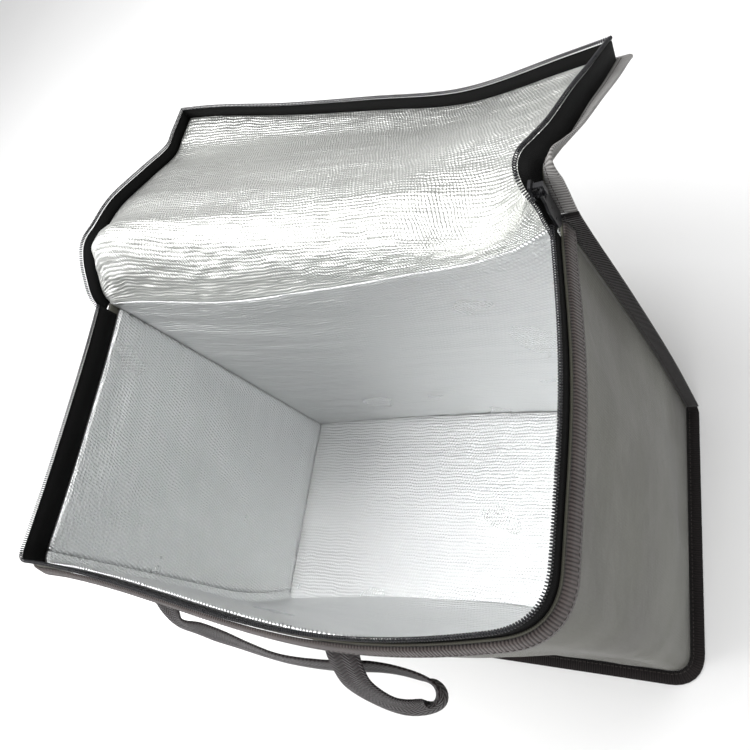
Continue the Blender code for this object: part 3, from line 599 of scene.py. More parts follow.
@dataclass(frozen=True)
class ClothFinish:
    """Coated olive cloth with a fine slanted weave."""

    name: str = "olive_cloth"
    light: tuple[float, float, float, float] = (0.092, 0.092, 0.068, 1.0)
    dark: tuple[float, float, float, float] = (0.052, 0.048, 0.036, 1.0)
    thread: float = 0.0011

    def make(self) -> bpy.types.Material:
        """Builds the material.

        Returns:
            The cloth material.
        """
        made, graph, shader = new_material(self.name)
        place = cut_place(graph)
        parts = graph.add("ShaderNodeSeparateXYZ", {0: place})
        turn = 2 * math.pi / self.thread
        slant = graph.math("ADD", parts.outputs[0], parts.outputs[1])
        twill = graph.math("SINE", graph.math("MULTIPLY", slant, turn))
        cross = graph.math("SINE", graph.math("MULTIPLY", parts.outputs[0], turn * 0.5))
        weave = graph.math("ADD", twill, graph.math("MULTIPLY", cross, 0.4))
        patch = graph.noise(place, 7.0, 4.0, 0.55)
        fibre = graph.noise(graph.stretched(place, 1.0, 0.3), 900.0, 2.0)
        height = graph.math("MULTIPLY", weave, 0.00007)
        height = graph.math("ADD", height, graph.math("MULTIPLY", fibre, 0.00012))
        height = graph.math("ADD", height, graph.math("MULTIPLY", graph.noise(place, 60.0, 3.0), 0.0007))
        bump = graph.add("ShaderNodeBump", {"Strength": 0.8, "Distance": 1.0, "Height": height})
        graph.tree.links.new(bump.outputs[0], shader.inputs["Normal"])
        # Painted sheen: the twill wave lightens the colour along the slanted ridges, standing in for their highlights;
        # the patch noise is random tone.
        tone = graph.math("ADD", graph.curve(patch, 0.35, 0.65, 0.0, 1.0), graph.math("MULTIPLY", weave, 0.16))
        tone = graph.math("ADD", tone, 0.0, clamp=True)
        graph.tree.links.new(graph.mix(tone, self.dark, self.light), shader.inputs["Base Color"])
        shader.inputs["Roughness"].default_value = 0.62
        shader.inputs["Sheen Weight"].default_value = 0.25
        shader.inputs["Sheen Roughness"].default_value = 0.4
        return made


@dataclass(frozen=True)
class RibbonFinish:
    """Ribbed ribbon, tape or webbing whose ribs cross its length."""

    name: str
    rib_colour: tuple[float, float, float, float]
    shaded_groove_colour: tuple[float, float, float, float]
    rib: float
    relief: float
    slant: float = 0.0
    roughness: float = 0.7
    sheen: float = 0.2

    def make(self) -> bpy.types.Material:
        """Builds the material.

        Returns:
            The ribbon material.
        """
        made, graph, shader = new_material(self.name)
        place = cut_place(graph)
        parts = graph.add("ShaderNodeSeparateXYZ", {0: place})
        sideways = graph.math("MULTIPLY", graph.math("PINGPONG", parts.outputs[0], self.rib * 2.2), self.slant)
        along = graph.math("ADD", parts.outputs[1], sideways)
        wave = graph.math("SINE", graph.math("MULTIPLY", along, 2 * math.pi / self.rib))
        fibre = graph.noise(graph.stretched(place, 0.4, 1.6), 1400.0, 2.0)
        patch = graph.noise(place, 30.0, 3.0)
        height = graph.math("MULTIPLY", wave, self.relief)
        height = graph.math("ADD", height, graph.math("MULTIPLY", fibre, self.relief * 0.8))
        bump = graph.add("ShaderNodeBump", {"Strength": 1.0, "Distance": 1.0, "Height": height})
        graph.tree.links.new(bump.outputs[0], shader.inputs["Normal"])
        # Painted shade: the colour follows the rib wave, darker in the grooves between the ribs and lighter on the
        # crests; the patch noise is random tone.
        tone = graph.curve(wave, -0.9, 0.7, 0.0, 0.8)
        tone = graph.math("ADD", tone, graph.curve(patch, 0.3, 0.7, -0.15, 0.25), clamp=True)
        graph.tree.links.new(graph.mix(tone, self.shaded_groove_colour, self.rib_colour), shader.inputs["Base Color"])
        shader.inputs["Roughness"].default_value = self.roughness
        shader.inputs["Sheen Weight"].default_value = self.sheen
        shader.inputs["Specular IOR Level"].default_value = 0.15
        return made


@dataclass(frozen=True)
class HardFinish:
    """Smooth black plastic or enamelled metal with light wear."""

    name: str
    colour: tuple[float, float, float, float]
    roughness: float
    metallic: float

    def make(self) -> bpy.types.Material:
        """Builds the material.

        Returns:
            The hard material.
        """
        made, graph, shader = new_material(self.name)
        place = graph.add("ShaderNodeTexCoord").outputs["Object"]
        speck = graph.noise(place, 900.0, 3.0)
        worn = graph.curve(speck, 0.55, 0.8, 0.0, 0.5)
        lighter = tuple(min(1.0, value * 2.4 + 0.01) for value in self.colour[:3]) + (1.0,)
        graph.tree.links.new(graph.mix(worn, self.colour, lighter), shader.inputs["Base Color"])
        rough = graph.curve(graph.noise(place, 160.0, 2.0), 0.3, 0.7, self.roughness - 0.06, self.roughness + 0.1)
        graph.tree.links.new(rough, shader.inputs["Roughness"])
        shader.inputs["Metallic"].default_value = self.metallic
        return made


@dataclass(frozen=True)
class Finishes:
    """Every material of the bag."""

    olive: bpy.types.Material
    foil: bpy.types.Material
    lid_foil: bpy.types.Material
    tape: bpy.types.Material
    coil: bpy.types.Material
    rim_ribbon: bpy.types.Material
    lid_ribbon: bpy.types.Material
    dark_ribbon: bpy.types.Material
    webbing: bpy.types.Material
    thread: bpy.types.Material
    metal: bpy.types.Material

    @classmethod
    def make(cls) -> Finishes:
        """Builds the materials.

        Returns:
            All the finishes.
        """
        return cls(
            olive=ClothFinish().make(),
            foil=FoilFinish("silver_foil", (0.90, 0.91, 0.91, 1.0)).make(),
            lid_foil=FoilFinish("silver_foil_lid", (0.88, 0.89, 0.86, 1.0), cell=0.0030, roughness=0.36).make(),
            tape=RibbonFinish("zip_tape", grey(0.0025), grey(0.001), 0.0012, 0.00008, 0.6, 0.75, 0.0).make(),
            coil=HardFinish("zip_coil", (0.012, 0.012, 0.015, 1.0), 0.30, 0.0).make(),
            rim_ribbon=RibbonFinish(
                "rim_ribbon", (0.120, 0.100, 0.095, 1.0), (0.030, 0.024, 0.023, 1.0), 0.0021, 0.00022
            ).make(),
            lid_ribbon=RibbonFinish(
                "lid_ribbon", (0.36, 0.35, 0.34, 1.0), (0.11, 0.105, 0.10, 1.0), 0.0021, 0.00022
            ).make(),
            dark_ribbon=RibbonFinish(
                "dark_ribbon", (0.016, 0.012, 0.012, 1.0), (0.005, 0.004, 0.004, 1.0), 0.0021, 0.0002
            ).make(),
            webbing=RibbonFinish(
                "webbing", (0.028, 0.020, 0.021, 1.0), (0.006, 0.004, 0.005, 1.0), 0.0026, 0.0003, 0.7
            ).make(),
            thread=HardFinish("thread", (0.045, 0.038, 0.036, 1.0), 0.75, 0.0).make(),
            metal=HardFinish("black_metal", (0.014, 0.014, 0.016, 1.0), 0.32, 0.6).make(),
        )


def clip(row: Array, stop: float) -> Array:
    """A wall line with its two ends cut back from the rear wall, with as many points as before.

    Args:
        row: Points from the rear left round the front to the rear right.
        stop: How far each end stays from the outer face of the rear wall.

    Returns:
        The shortened line.
    """
    room = FORM.rear_y(row[:, 0], float(row[0, 2])) - stop - row[:, 1]
    inside = np.flatnonzero(room > 0)
    first, last = inside[0], inside[-1]
    start, end = float(first), float(last)
    if first > 0:
        start = first - room[first] / (room[first] - room[first - 1])
    if last < len(row) - 1:
        end = last + room[last] / (room[last] - room[last + 1])
    if first == 0:
        start = -room[0] / (room[1] - room[0]) if room[1] != room[0] else 0.0
    places = np.linspace(max(start, 0.0), min(end, len(row) - 1.0), len(row))
    return np.stack([np.interp(places, np.arange(len(row)), row[:, i]) for i in range(3)], axis=1)


@dataclass
class WallGrid:
    """Counts of a dense wall grid and its making."""

    side_steps: int = 56
    corner_steps: int = 14
    front_steps: int = 110

    def line(self, z: float, distance: float, level: float | None = None) -> Array:
        """One row of points round the left, front and right walls.

        Args:
            z: Height whose plan is taken.
            distance: Inset of the line.
            level: Height of the points, if it isn't z.

        Returns:
            Points from the rear left to the rear right.
        """
        plan = inset(FORM.outline(z, self.side_steps, self.corner_steps, self.front_steps), distance)
        return np.column_stack([plan, np.full(len(plan), z if level is None else level)])

    def band(self, heights: Sequence[float], distance: float) -> Array:
        """Rows of a wall at one inset."""
        return np.array([self.line(z, distance) for z in heights])

    @property
    def front(self) -> slice:
        """Columns of the front wall with both its rounded corners."""
        return slice(self.side_steps, self.side_steps + 2 * self.corner_steps + self.front_steps + 1)


def fade(grid: Array, edge: float) -> Array:
    """A share that falls to 0 at the four edges of a grid, over a distance."""
    up, along = lengths(grid)
    rows = np.minimum(up, up[-1] - up)
    columns = np.minimum(along, along[-1] - along)
    return ramp(rows, 0.0, edge)[:, None] * ramp(columns, 0.0, edge)[None, :]


@dataclass
class Cloth:
    """Olive outer cloth: the walls in one band, the base, and the rear wall with the lid."""

    walls: WallGrid
    wrinkle: float = 0.0016

    def build(self, finishes: Finishes, strip: Strip) -> None:
        """Makes the three cloth pieces.

        Args:
            finishes: The bag's materials.
            strip: Grids of the rear wall and the lid.
        """
        self.make_band(finishes.olive)
        self.make_base(finishes.olive)
        self.make_rear(finishes.olive, strip)

    def make_band(self, olive: bpy.types.Material) -> None:
        """Walls on the left, front and right."""
        heights = np.linspace(FORM.cloth + FORM.gap, FORM.height, 78)
        stop = FORM.cloth + FORM.gap
        near = np.array([clip(row, stop) for row in self.walls.band(heights, 0.0)])
        far = np.array([clip(row, stop) for row in self.walls.band(heights, FORM.cloth)])
        up, along = lengths(near)
        v, u = np.meshgrid(up, along, indexing="ij")
        swell = 0.6 * noise(u / 0.07 + v / 0.20, v / 0.05, 3) + 0.4 * noise(u / 0.024, v / 0.06 + u / 0.09, 5)
        folds = np.maximum(0.0, noise(u / 0.030 + v / 0.045, v / 0.16, 8)) ** 2
        amount = self.wrinkle * fade(near, 0.020) * (swell + 1.1 * folds)
        normals = unit(np.cross(np.gradient(near, axis=1), np.gradient(near, axis=0)))
        piece = slab("walls_cloth", near + normals * amount[..., None], far, 0.0)
        settle(piece, olive, "bag", ["front_side_band"])

    def make_base(self, olive: bpy.types.Material) -> None:
        """Cloth under the base."""
        plan = FORM.outline(0.0, 24, 6, 40)
        half = len(plan) // 2
        shares = np.linspace(0.0, 1.0, 25)
        grids = []
        for z in (0.0, FORM.cloth):
            rows = []
            for i in range(half):
                left, right = plan[i].copy(), plan[len(plan) - 1 - i].copy()
                if i == 0:
                    left[1] = float(FORM.rear_y(left[0], 0.0))
                    right[1] = float(FORM.rear_y(right[0], 0.0))
                flat = left + (right - left) * shares[:, None]
                if i == 0:
                    flat[:, 1] = FORM.rear_y(flat[:, 0], 0.0)
                rows.append(np.column_stack([flat, np.full(len(flat), z)]))
            grids.append(np.array(rows))
        piece = slab("base_cloth", grids[0], grids[1])
        settle(piece, olive, "bag", ["base_panel"])

    def make_rear(self, olive: bpy.types.Material, strip: Strip) -> None:
        """Cloth of the rear wall and the lid, in one piece."""
        face, away = strip.face, strip.away
        near = face + away * FORM.inner
        far = face + away * (FORM.inner - FORM.cloth)
        up, along = lengths(near)
        v, u = np.meshgrid(up, along, indexing="ij")
        swell = 0.7 * noise(u / 0.06 + v / 0.15, v / 0.05, 13) + 0.3 * noise(u / 0.02, v / 0.03, 15)
        amount = self.wrinkle * fade(near, 0.02) * swell
        piece = slab("rear_lid_cloth", near + away * amount[..., None], far)
        settle(piece, olive, "bag", ["rear_lid_panel"])


@dataclass
class Strip:
    """Dense grid of the foil face of the rear wall and the lid."""

    columns: int = 151
    rear_rows: int = 64
    lid_rows: int = 120

    def __post_init__(self) -> None:
        """Works out the face and its normals."""
        self.across = np.linspace(0.0, 1.0, self.columns)
        lid = FORM.lid_face(np.linspace(0.0, 1.0, self.lid_rows), self.across)
        rear = FORM.rear_face(np.linspace(0.0, 1.0, self.rear_rows)[:-1], self.across, lid[0])
        self.face = np.concatenate([rear, lid])
        self.away = -unit(np.cross(np.gradient(self.face, axis=1), np.gradient(self.face, axis=0)))
        self.hinge = self.rear_rows - 1

    def narrowed(self, amount: float) -> Array:
        """The face with its side edges drawn in, its columns spread evenly between them."""
        grid = self.face
        width = np.linalg.norm(grid[:, -1] - grid[:, 0], axis=1)
        shares = (amount / width)[:, None] + (1 - 2 * amount / width)[:, None] * self.across[None, :]
        places = shares * (self.columns - 1)
        low = np.clip(np.floor(places).astype(int), 0, self.columns - 2)
        part = (places - low)[..., None]
        rows = np.arange(len(grid))[:, None]
        return grid[rows, low] * (1 - part) + grid[rows, low + 1] * part


def stretch(row: Array, low: float, high: float) -> Array:
    """Moves a side wall's points along their own line so that they run between two places along Y."""
    order = np.argsort(row[:, 1])
    ys = row[order, 1]
    share = (ys - ys[0]) / (ys[-1] - ys[0])
    placed = ys + (low - ys[0]) * (1 - share) ** 3 + (high - ys[-1]) * share**3
    moved = row.copy()
    moved[order, 0] = np.interp(placed, ys, row[order, 0])
    moved[order, 1] = placed
    return moved


@dataclass
class Lining:
    """Foil-faced foam on every inner face."""

    walls: WallGrid

    def build(self, finishes: Finishes, strip: Strip) -> None:
        """Makes the six foil pieces.

        Args:
            finishes: The bag's materials.
            strip: Grids of the rear wall and the lid.
        """
        self.make_walls(finishes.foil)
        self.make_rear(finishes.foil, strip)
        self.make_lid(finishes.lid_foil, strip)
        self.make_base(finishes.foil)

    def place(
        self, name: str, node: str, show: Array, back: Array, finish: bpy.types.Material, slide: float, relief: Array
    ) -> None:
        """Makes one foil piece with its ripples.

        Args:
            name: Name of the piece.
            node: Solid that it stands for.
            show: Grid of the foil face.
            back: Grid of the foam's other face.
            finish: Foil material.
            slide: Shift of its pattern.
            relief: Height of its ripples over the foil face, in metres.
        """
        out = unit(np.cross(np.gradient(show, axis=1), np.gradient(show, axis=0)))
        towards = np.sign(np.sum(out * (show - back), axis=-1, keepdims=True))
        piece = slab(name, show + out * towards * relief[..., None], back, slide)
        settle(piece, finish, "bag", [node])

    def make_walls(self, foil: bpy.types.Material) -> None:
        """Left, front and right linings."""
        low, high = FORM.floor_top + FORM.gap, FORM.tape_top - FORM.tape_band - FORM.gap
        heights = np.linspace(low, high, 84)
        back = self.walls.band(heights, FORM.cloth + FORM.layer_gap)
        show = self.walls.band(heights, FORM.inner)
        front = self.walls.front
        for name, part, end in (("left", slice(0, front.start + 1), -1), ("right", slice(front.stop - 1, None), 0)):
            pair = []
            for grid in (show, back):
                rows = []
                for row in grid[:, part]:
                    x, y, z = row[end]
                    start = y + FORM.gap + float(FORM.foot_push(x, z))
                    stop = float(FORM.rear_y(x, z)) - FORM.inner - FORM.gap
                    rows.append(stretch(row, start, stop))
                pair.append(np.array(rows))
            up, along = lengths(pair[0])
            v, u = np.meshgrid(up, along, indexing="ij")
            ripple = noise(u / 0.11 + 3, v / 0.016, 21) * 0.0011 + noise(u / 0.05, v / 0.009, 22) * 0.0004
            dent = noise(u / 0.05, v / 0.06, 23) * 0.0012
            relief = (ripple + dent) * fade(pair[0], 0.018)
            self.place(f"foil_{name}", f"lining_{name}", pair[0], pair[1], foil, 0.31, relief)
        pair = [grid[:, front].copy() for grid in (show, back)]
        for grid in pair:
            grid[:, :, 1] += FORM.foot_push(grid[:, :, 0], grid[:, :, 2])
        up, along = lengths(pair[0])
        v, u = np.meshgrid(up, along, indexing="ij")
        relief = (noise(u / 0.10, v / 0.020, 25) * 0.0010 + noise(u / 0.05, v / 0.07, 26) * 0.0012)
        self.place("foil_front", "lining_front", pair[0], pair[1], foil, 0.0, relief * fade(pair[0], 0.018))

    def make_rear(self, foil: bpy.types.Material, strip: Strip) -> None:
        """Lining of the rear wall."""
        show = strip.narrowed(FORM.cloth + 3 * FORM.gap)[: strip.hinge + 1].copy()
        away = strip.away[: strip.hinge + 1].copy()
        rise = FORM.floor_top + FORM.gap - show[0, :, 2]
        keep = np.clip(1 - np.arange(len(show)) / 12.0, 0.0, 1.0)[:, None]
        show[:, :, 2] += rise[None, :] * keep
        away[0, :, 2] = 0.0
        back = show + away * FORM.lining
        up, along = lengths(show)
        v, u = np.meshgrid(up, along, indexing="ij")
        streaks = noise(u / 0.16, v / 0.010 + u / 0.12, 31) * 0.0010
        fine = noise(u / 0.06, v / 0.005, 32) * 0.0004
        near_roll = ramp(v, 0.20, 0.33)
        crumple = noise(u / 0.014, v / 0.006, 33) * 0.0010 * near_roll
        relief = (streaks + fine + crumple) * fade(show, 0.012)
        self.place("foil_rear", "lining_rear", show, back, foil, 0.57, relief)

    def make_lid(self, foil: bpy.types.Material, strip: Strip) -> None:
        """Lining of the lid."""
        side = FORM.cloth + 2 * FORM.gap + FORM.tape
        show = strip.narrowed(side)[strip.hinge :].copy()
        away = strip.away[strip.hinge :]
        first = show[1] - show[0]
        show[0] += unit(first) * FORM.gap
        last = show[-1] - show[-2]
        show[-1] -= last * np.minimum(side / np.linalg.norm(last, axis=1), 0.9)[:, None]
        back = show + away * FORM.lining
        up, along = lengths(show)
        v, u = np.meshgrid(up, along, indexing="ij")
        total = up[-1]
        waves = noise(u / 0.20, v / 0.012 + u / 0.10, 41) * 0.0009
        crumple = noise(u / 0.012, v / 0.005, 42) * 0.0012 * (1 - ramp(v, 0.05, 0.10))
        ribs = noise(u / 0.0045, v / 0.02, 44) * 0.0004 * ramp(v, 0.03, 0.06) * (1 - ramp(v, 0.10, 0.16))
        edge = noise(u / 0.012, v / 0.02, 43) * 0.0008 * ramp(v, total - 0.03, total - 0.012)
        relief = (waves + crumple + ribs + edge) * fade(show, 0.008)
        self.place("foil_lid", "lining_lid", show, back, foil, 0.83, relief)

    def make_base(self, foil: bpy.types.Material) -> None:
        """Lining on the base."""
        gap = FORM.cloth + FORM.gap
        grids = []
        shares = np.linspace(0.0, 1.0, 110)
        for z in (FORM.cloth + FORM.gap, FORM.floor_top):
            plan = inset(FORM.outline(z, 60, 14, 60), gap)
            half = len(plan) // 2
            rows = []
            for i in range(half):
                left, right = plan[i].copy(), plan[len(plan) - 1 - i].copy()
                flat = left + (right - left) * shares[:, None]
                flat[:, 1] = np.minimum(flat[:, 1], FORM.rear_y(flat[:, 0], 0.0) - gap)
                if i == 0:
                    flat[:, 1] = FORM.rear_y(flat[:, 0], 0.0) - gap
                rows.append(np.column_stack([flat, np.full(len(flat), z)]))
            grids.append(np.array(rows))
        back, show = grids
        up, along = lengths(show)
        v, u = np.meshgrid(up, along, indexing="ij")
        relief = noise(u / 0.22, v / 0.024, 51) * 0.0014 + noise(u / 0.10, v / 0.008, 52) * 0.0005
        relief = (relief + 0.0008) * fade(show, 0.02)
        self.place("foil_base", "lining_base", show, back, foil, 1.13, relief)


def ring_loft(name: str, edges: Sequence[Array], finish: bpy.types.Material, nodes: Sequence[str]) -> None:
    """Makes a ribbon from its edge lines and gives it its finish.

    Args:
        name: Name of the piece.
        edges: Lines of equally many points, in order round the ribbon.
        finish: Its material.
        nodes: Solids that it stands for.
    """
    piece = loft(name, np.stack(edges, axis=1))
    settle(piece, finish, "bag", nodes)


def repeated(
    name: str, path: Array, template: bpy.types.Object, pitch: float, tilts: Array, material: bpy.types.Material
) -> bpy.types.Object:
    """Copies of one small shape along a line, made with Geometry Nodes.

    Args:
        name: Name of the new piece.
        path: Points of the line, measured from the front left floor corner.
        template: Shape to repeat: its X runs along the line, its Z along the tilt.
        pitch: Distance between the copies.
        tilts: Direction of the shape's Z at each point of the line.
        material: Finish of the copies.

    Returns:
        The finished mesh object.
    """
    steps = np.linalg.norm(np.diff(path, axis=0), axis=1)
    run = np.concatenate([[0.0], np.cumsum(steps)])
    places = np.arange(pitch / 2, run[-1], pitch)
    points = np.stack([np.interp(places, run, path[:, i]) for i in range(3)], axis=1)
    ups = unit(np.stack([np.interp(places, run, tilts[:, i]) for i in range(3)], axis=1))
    ahead = unit(np.gradient(points, axis=0))
    line = mesh_object(name + "_line", points, [], None)
    for key, values in (("ahead", ahead), ("up", ups)):
        layer = line.data.attributes.new(key, "FLOAT_VECTOR", "POINT")
        layer.data.foreach_set("vector", np.ascontiguousarray(values, np.float32).ravel())
    tree = bpy.data.node_groups.new(name + "_nodes", "GeometryNodeTree")
    tree.interface.new_socket("Geometry", in_out="INPUT", socket_type="NodeSocketGeometry")
    shape = tree.interface.new_socket("Shape", in_out="INPUT", socket_type="NodeSocketObject")
    finish = tree.interface.new_socket("Finish", in_out="INPUT", socket_type="NodeSocketMaterial")
    tree.interface.new_socket("Geometry", in_out="OUTPUT", socket_type="NodeSocketGeometry")
    graph = Graph(tree)
    start = graph.add("NodeGroupInput")
    info = graph.add("GeometryNodeObjectInfo", {"Object": start.outputs["Shape"]})
    names = [
        graph.add("GeometryNodeInputNamedAttribute", {"Name": key}, data_type="FLOAT_VECTOR")
        for key in ("ahead", "up")
    ]
    lean = graph.add("FunctionNodeAlignRotationToVector", {"Vector": names[0].outputs[0]}, axis="X")
    turn = graph.add(
        "FunctionNodeAlignRotationToVector",
        {"Rotation": lean.outputs[0], "Vector": names[1].outputs[0]},
        axis="Z",
        pivot_axis="X",
    )
    copies = graph.add(
        "GeometryNodeInstanceOnPoints",
        {"Points": start.outputs["Geometry"], "Instance": info.outputs["Geometry"], "Rotation": turn.outputs[0]},
    )
    real = graph.add("GeometryNodeRealizeInstances", {"Geometry": copies.outputs[0]})
    painted = graph.add("GeometryNodeSetMaterial", {"Geometry": real.outputs[0], "Material": start.outputs["Finish"]})
    end = graph.add("NodeGroupOutput")
    tree.links.new(painted.outputs[0], end.inputs[0])
    step = line.modifiers.new("Copies", "NODES")
    step.node_group = tree
    step[shape.identifier] = template
    step[finish.identifier] = material
    bpy.context.view_layer.update()
    graph_now = bpy.context.evaluated_depsgraph_get()
    mesh = bpy.data.meshes.new_from_object(line.evaluated_get(graph_now), depsgraph=graph_now)
    mesh.name = name
    made = bpy.data.objects.new(name, mesh)
    bpy.context.scene.collection.objects.link(made)
    bpy.data.objects.remove(line, do_unlink=True)
    return made


def small_ring(name: str, wide: float, high: float, thick: float, around: int, sides: int) -> bpy.types.Object:
    """One closed turn of zip coil, across the line that it repeats along."""
    turns = np.arange(around) * 2 * math.pi / around
    rings = []
    for angle in turns:
        centre = np.array((0.0, wide * math.cos(angle), high * math.sin(angle)))
        outwards = unit(np.array((0.0, math.cos(angle), math.sin(angle))))
        ring = []
        for side in range(sides):
            turn = 2 * math.pi * side / sides
            ring.append(centre + thick * (math.cos(turn) * outwards + math.sin(turn) * np.array((1.0, 0.0, 0.0))))
        rings.append(ring)
    made = loft(name, np.array(rings), closed=True)
    shift = np.array((FORM.length / 2, FORM.depth / 2, 0.0))
    made.data.transform(Matrix.Translation(shift.tolist()))
    return made


def stitch_shape(name: str, long: float, thick: float) -> bpy.types.Object:
    """One stitch: a short thread that dips at both ends."""
    rings = []
    for share, size, drop in ((-1.0, 0.3, 0.8), (-0.7, 0.9, 0.2), (0.0, 1.0, 0.0), (0.7, 0.9, 0.2), (1.0, 0.3, 0.8)):
        ring = []
        for side in range(6):
            turn = 2 * math.pi * side / 6
            ring.append((share * long / 2, thick * size * math.cos(turn), thick * (size * math.sin(turn) - drop)))
        rings.append(ring)
    made = loft(name, np.array(rings))
    shift = np.array((FORM.length / 2, FORM.depth / 2, 0.0))
    made.data.transform(Matrix.Translation(shift.tolist()))
    return made


@dataclass
class Zip:
    """Black tapes and coils on the rim and round the lid."""

    walls: WallGrid
    pitch: float = 0.0017

    def lid_lines(self, strip: Strip) -> tuple[Array, Array, Array]:
        """Edge of the lid from the left hinge to the right hinge, with outward and upward directions."""
        face, away = strip.face[strip.hinge :], strip.away[strip.hinge :]
        last = len(face) - 1
        right = strip.columns - 1
        cells = [(r, 0) for r in range(last + 1)] + [(last, c) for c in range(1, right + 1)]
        cells += [(r, right) for r in range(last - 1, -1, -1)]
        rows = np.array([cell[0] for cell in cells])
        columns = np.array([cell[1] for cell in cells])
        points = face[rows, columns]
        ups = -away[rows, columns]
        ahead = unit(np.gradient(points, axis=0))
        outs = unit(np.cross(ups, ahead))
        middle = points.mean(axis=0)
        if np.sum(outs * (points - middle)) < 0:
            outs = -outs
        for _ in range(3):
            outs[1:-1] = unit(outs[:-2] + 2 * outs[1:-1] + outs[2:])
        return points, outs, unit(ups)

    def build(self, finishes: Finishes, strip: Strip) -> None:
        """Makes both tapes and both coils.

        Args:
            finishes: The bag's materials.
            strip: Grids of the rear wall and the lid.
        """
        stop = FORM.inner + FORM.lid_tape - 0.004
        foot = FORM.tape_top - FORM.tape_band
        inner = FORM.cloth + FORM.gap
        edges = []
        for z, distance in (
            (foot, inner),
            (foot, inner + FORM.tape),
            (FORM.tape_top, inner + FORM.tape),
            (FORM.tape_top, inner),
        ):
            edges.append(clip(self.walls.line(z, distance), stop))
        ring_loft("rim_tape", edges, finishes.tape, ["body_zip_tape"])
        tooth = small_ring("coil_turn", 0.00105, 0.00125, 0.00042, 10, 5)
        level = FORM.tape_top + FORM.gap + FORM.coil
        path = clip(self.walls.line(level, inner + FORM.tape / 2), stop)
        ups = np.tile((0.0, 0.0, 1.0), (len(path), 1))
        coil = repeated("rim_coil", path, tooth, self.pitch, ups, finishes.coil)
        settle(coil, finishes.coil, "bag", ["body_zip_coil"])
        points, outs, ups = self.lid_lines(strip)
        root = -(FORM.inner - FORM.cloth) + FORM.gap
        inside = -FORM.tape - FORM.gap
        edges = []
        for out, up in ((-FORM.gap, root), (-FORM.gap, FORM.lid_tape), (inside, FORM.lid_tape), (inside, root)):
            edges.append(points + outs * out + ups * up)
        ring_loft("lid_tape", edges, finishes.tape, ["lid_zip_tape"])
        high = FORM.lid_tape + FORM.lid_coil_gap + FORM.coil
        path = points + outs * (inside - FORM.gap) / 2 + ups * high
        coil = repeated("lid_coil", path, tooth, self.pitch, ups, finishes.coil)
        settle(coil, finishes.coil, "bag", ["lid_zip_coil"])
        bpy.data.objects.remove(tooth, do_unlink=True)


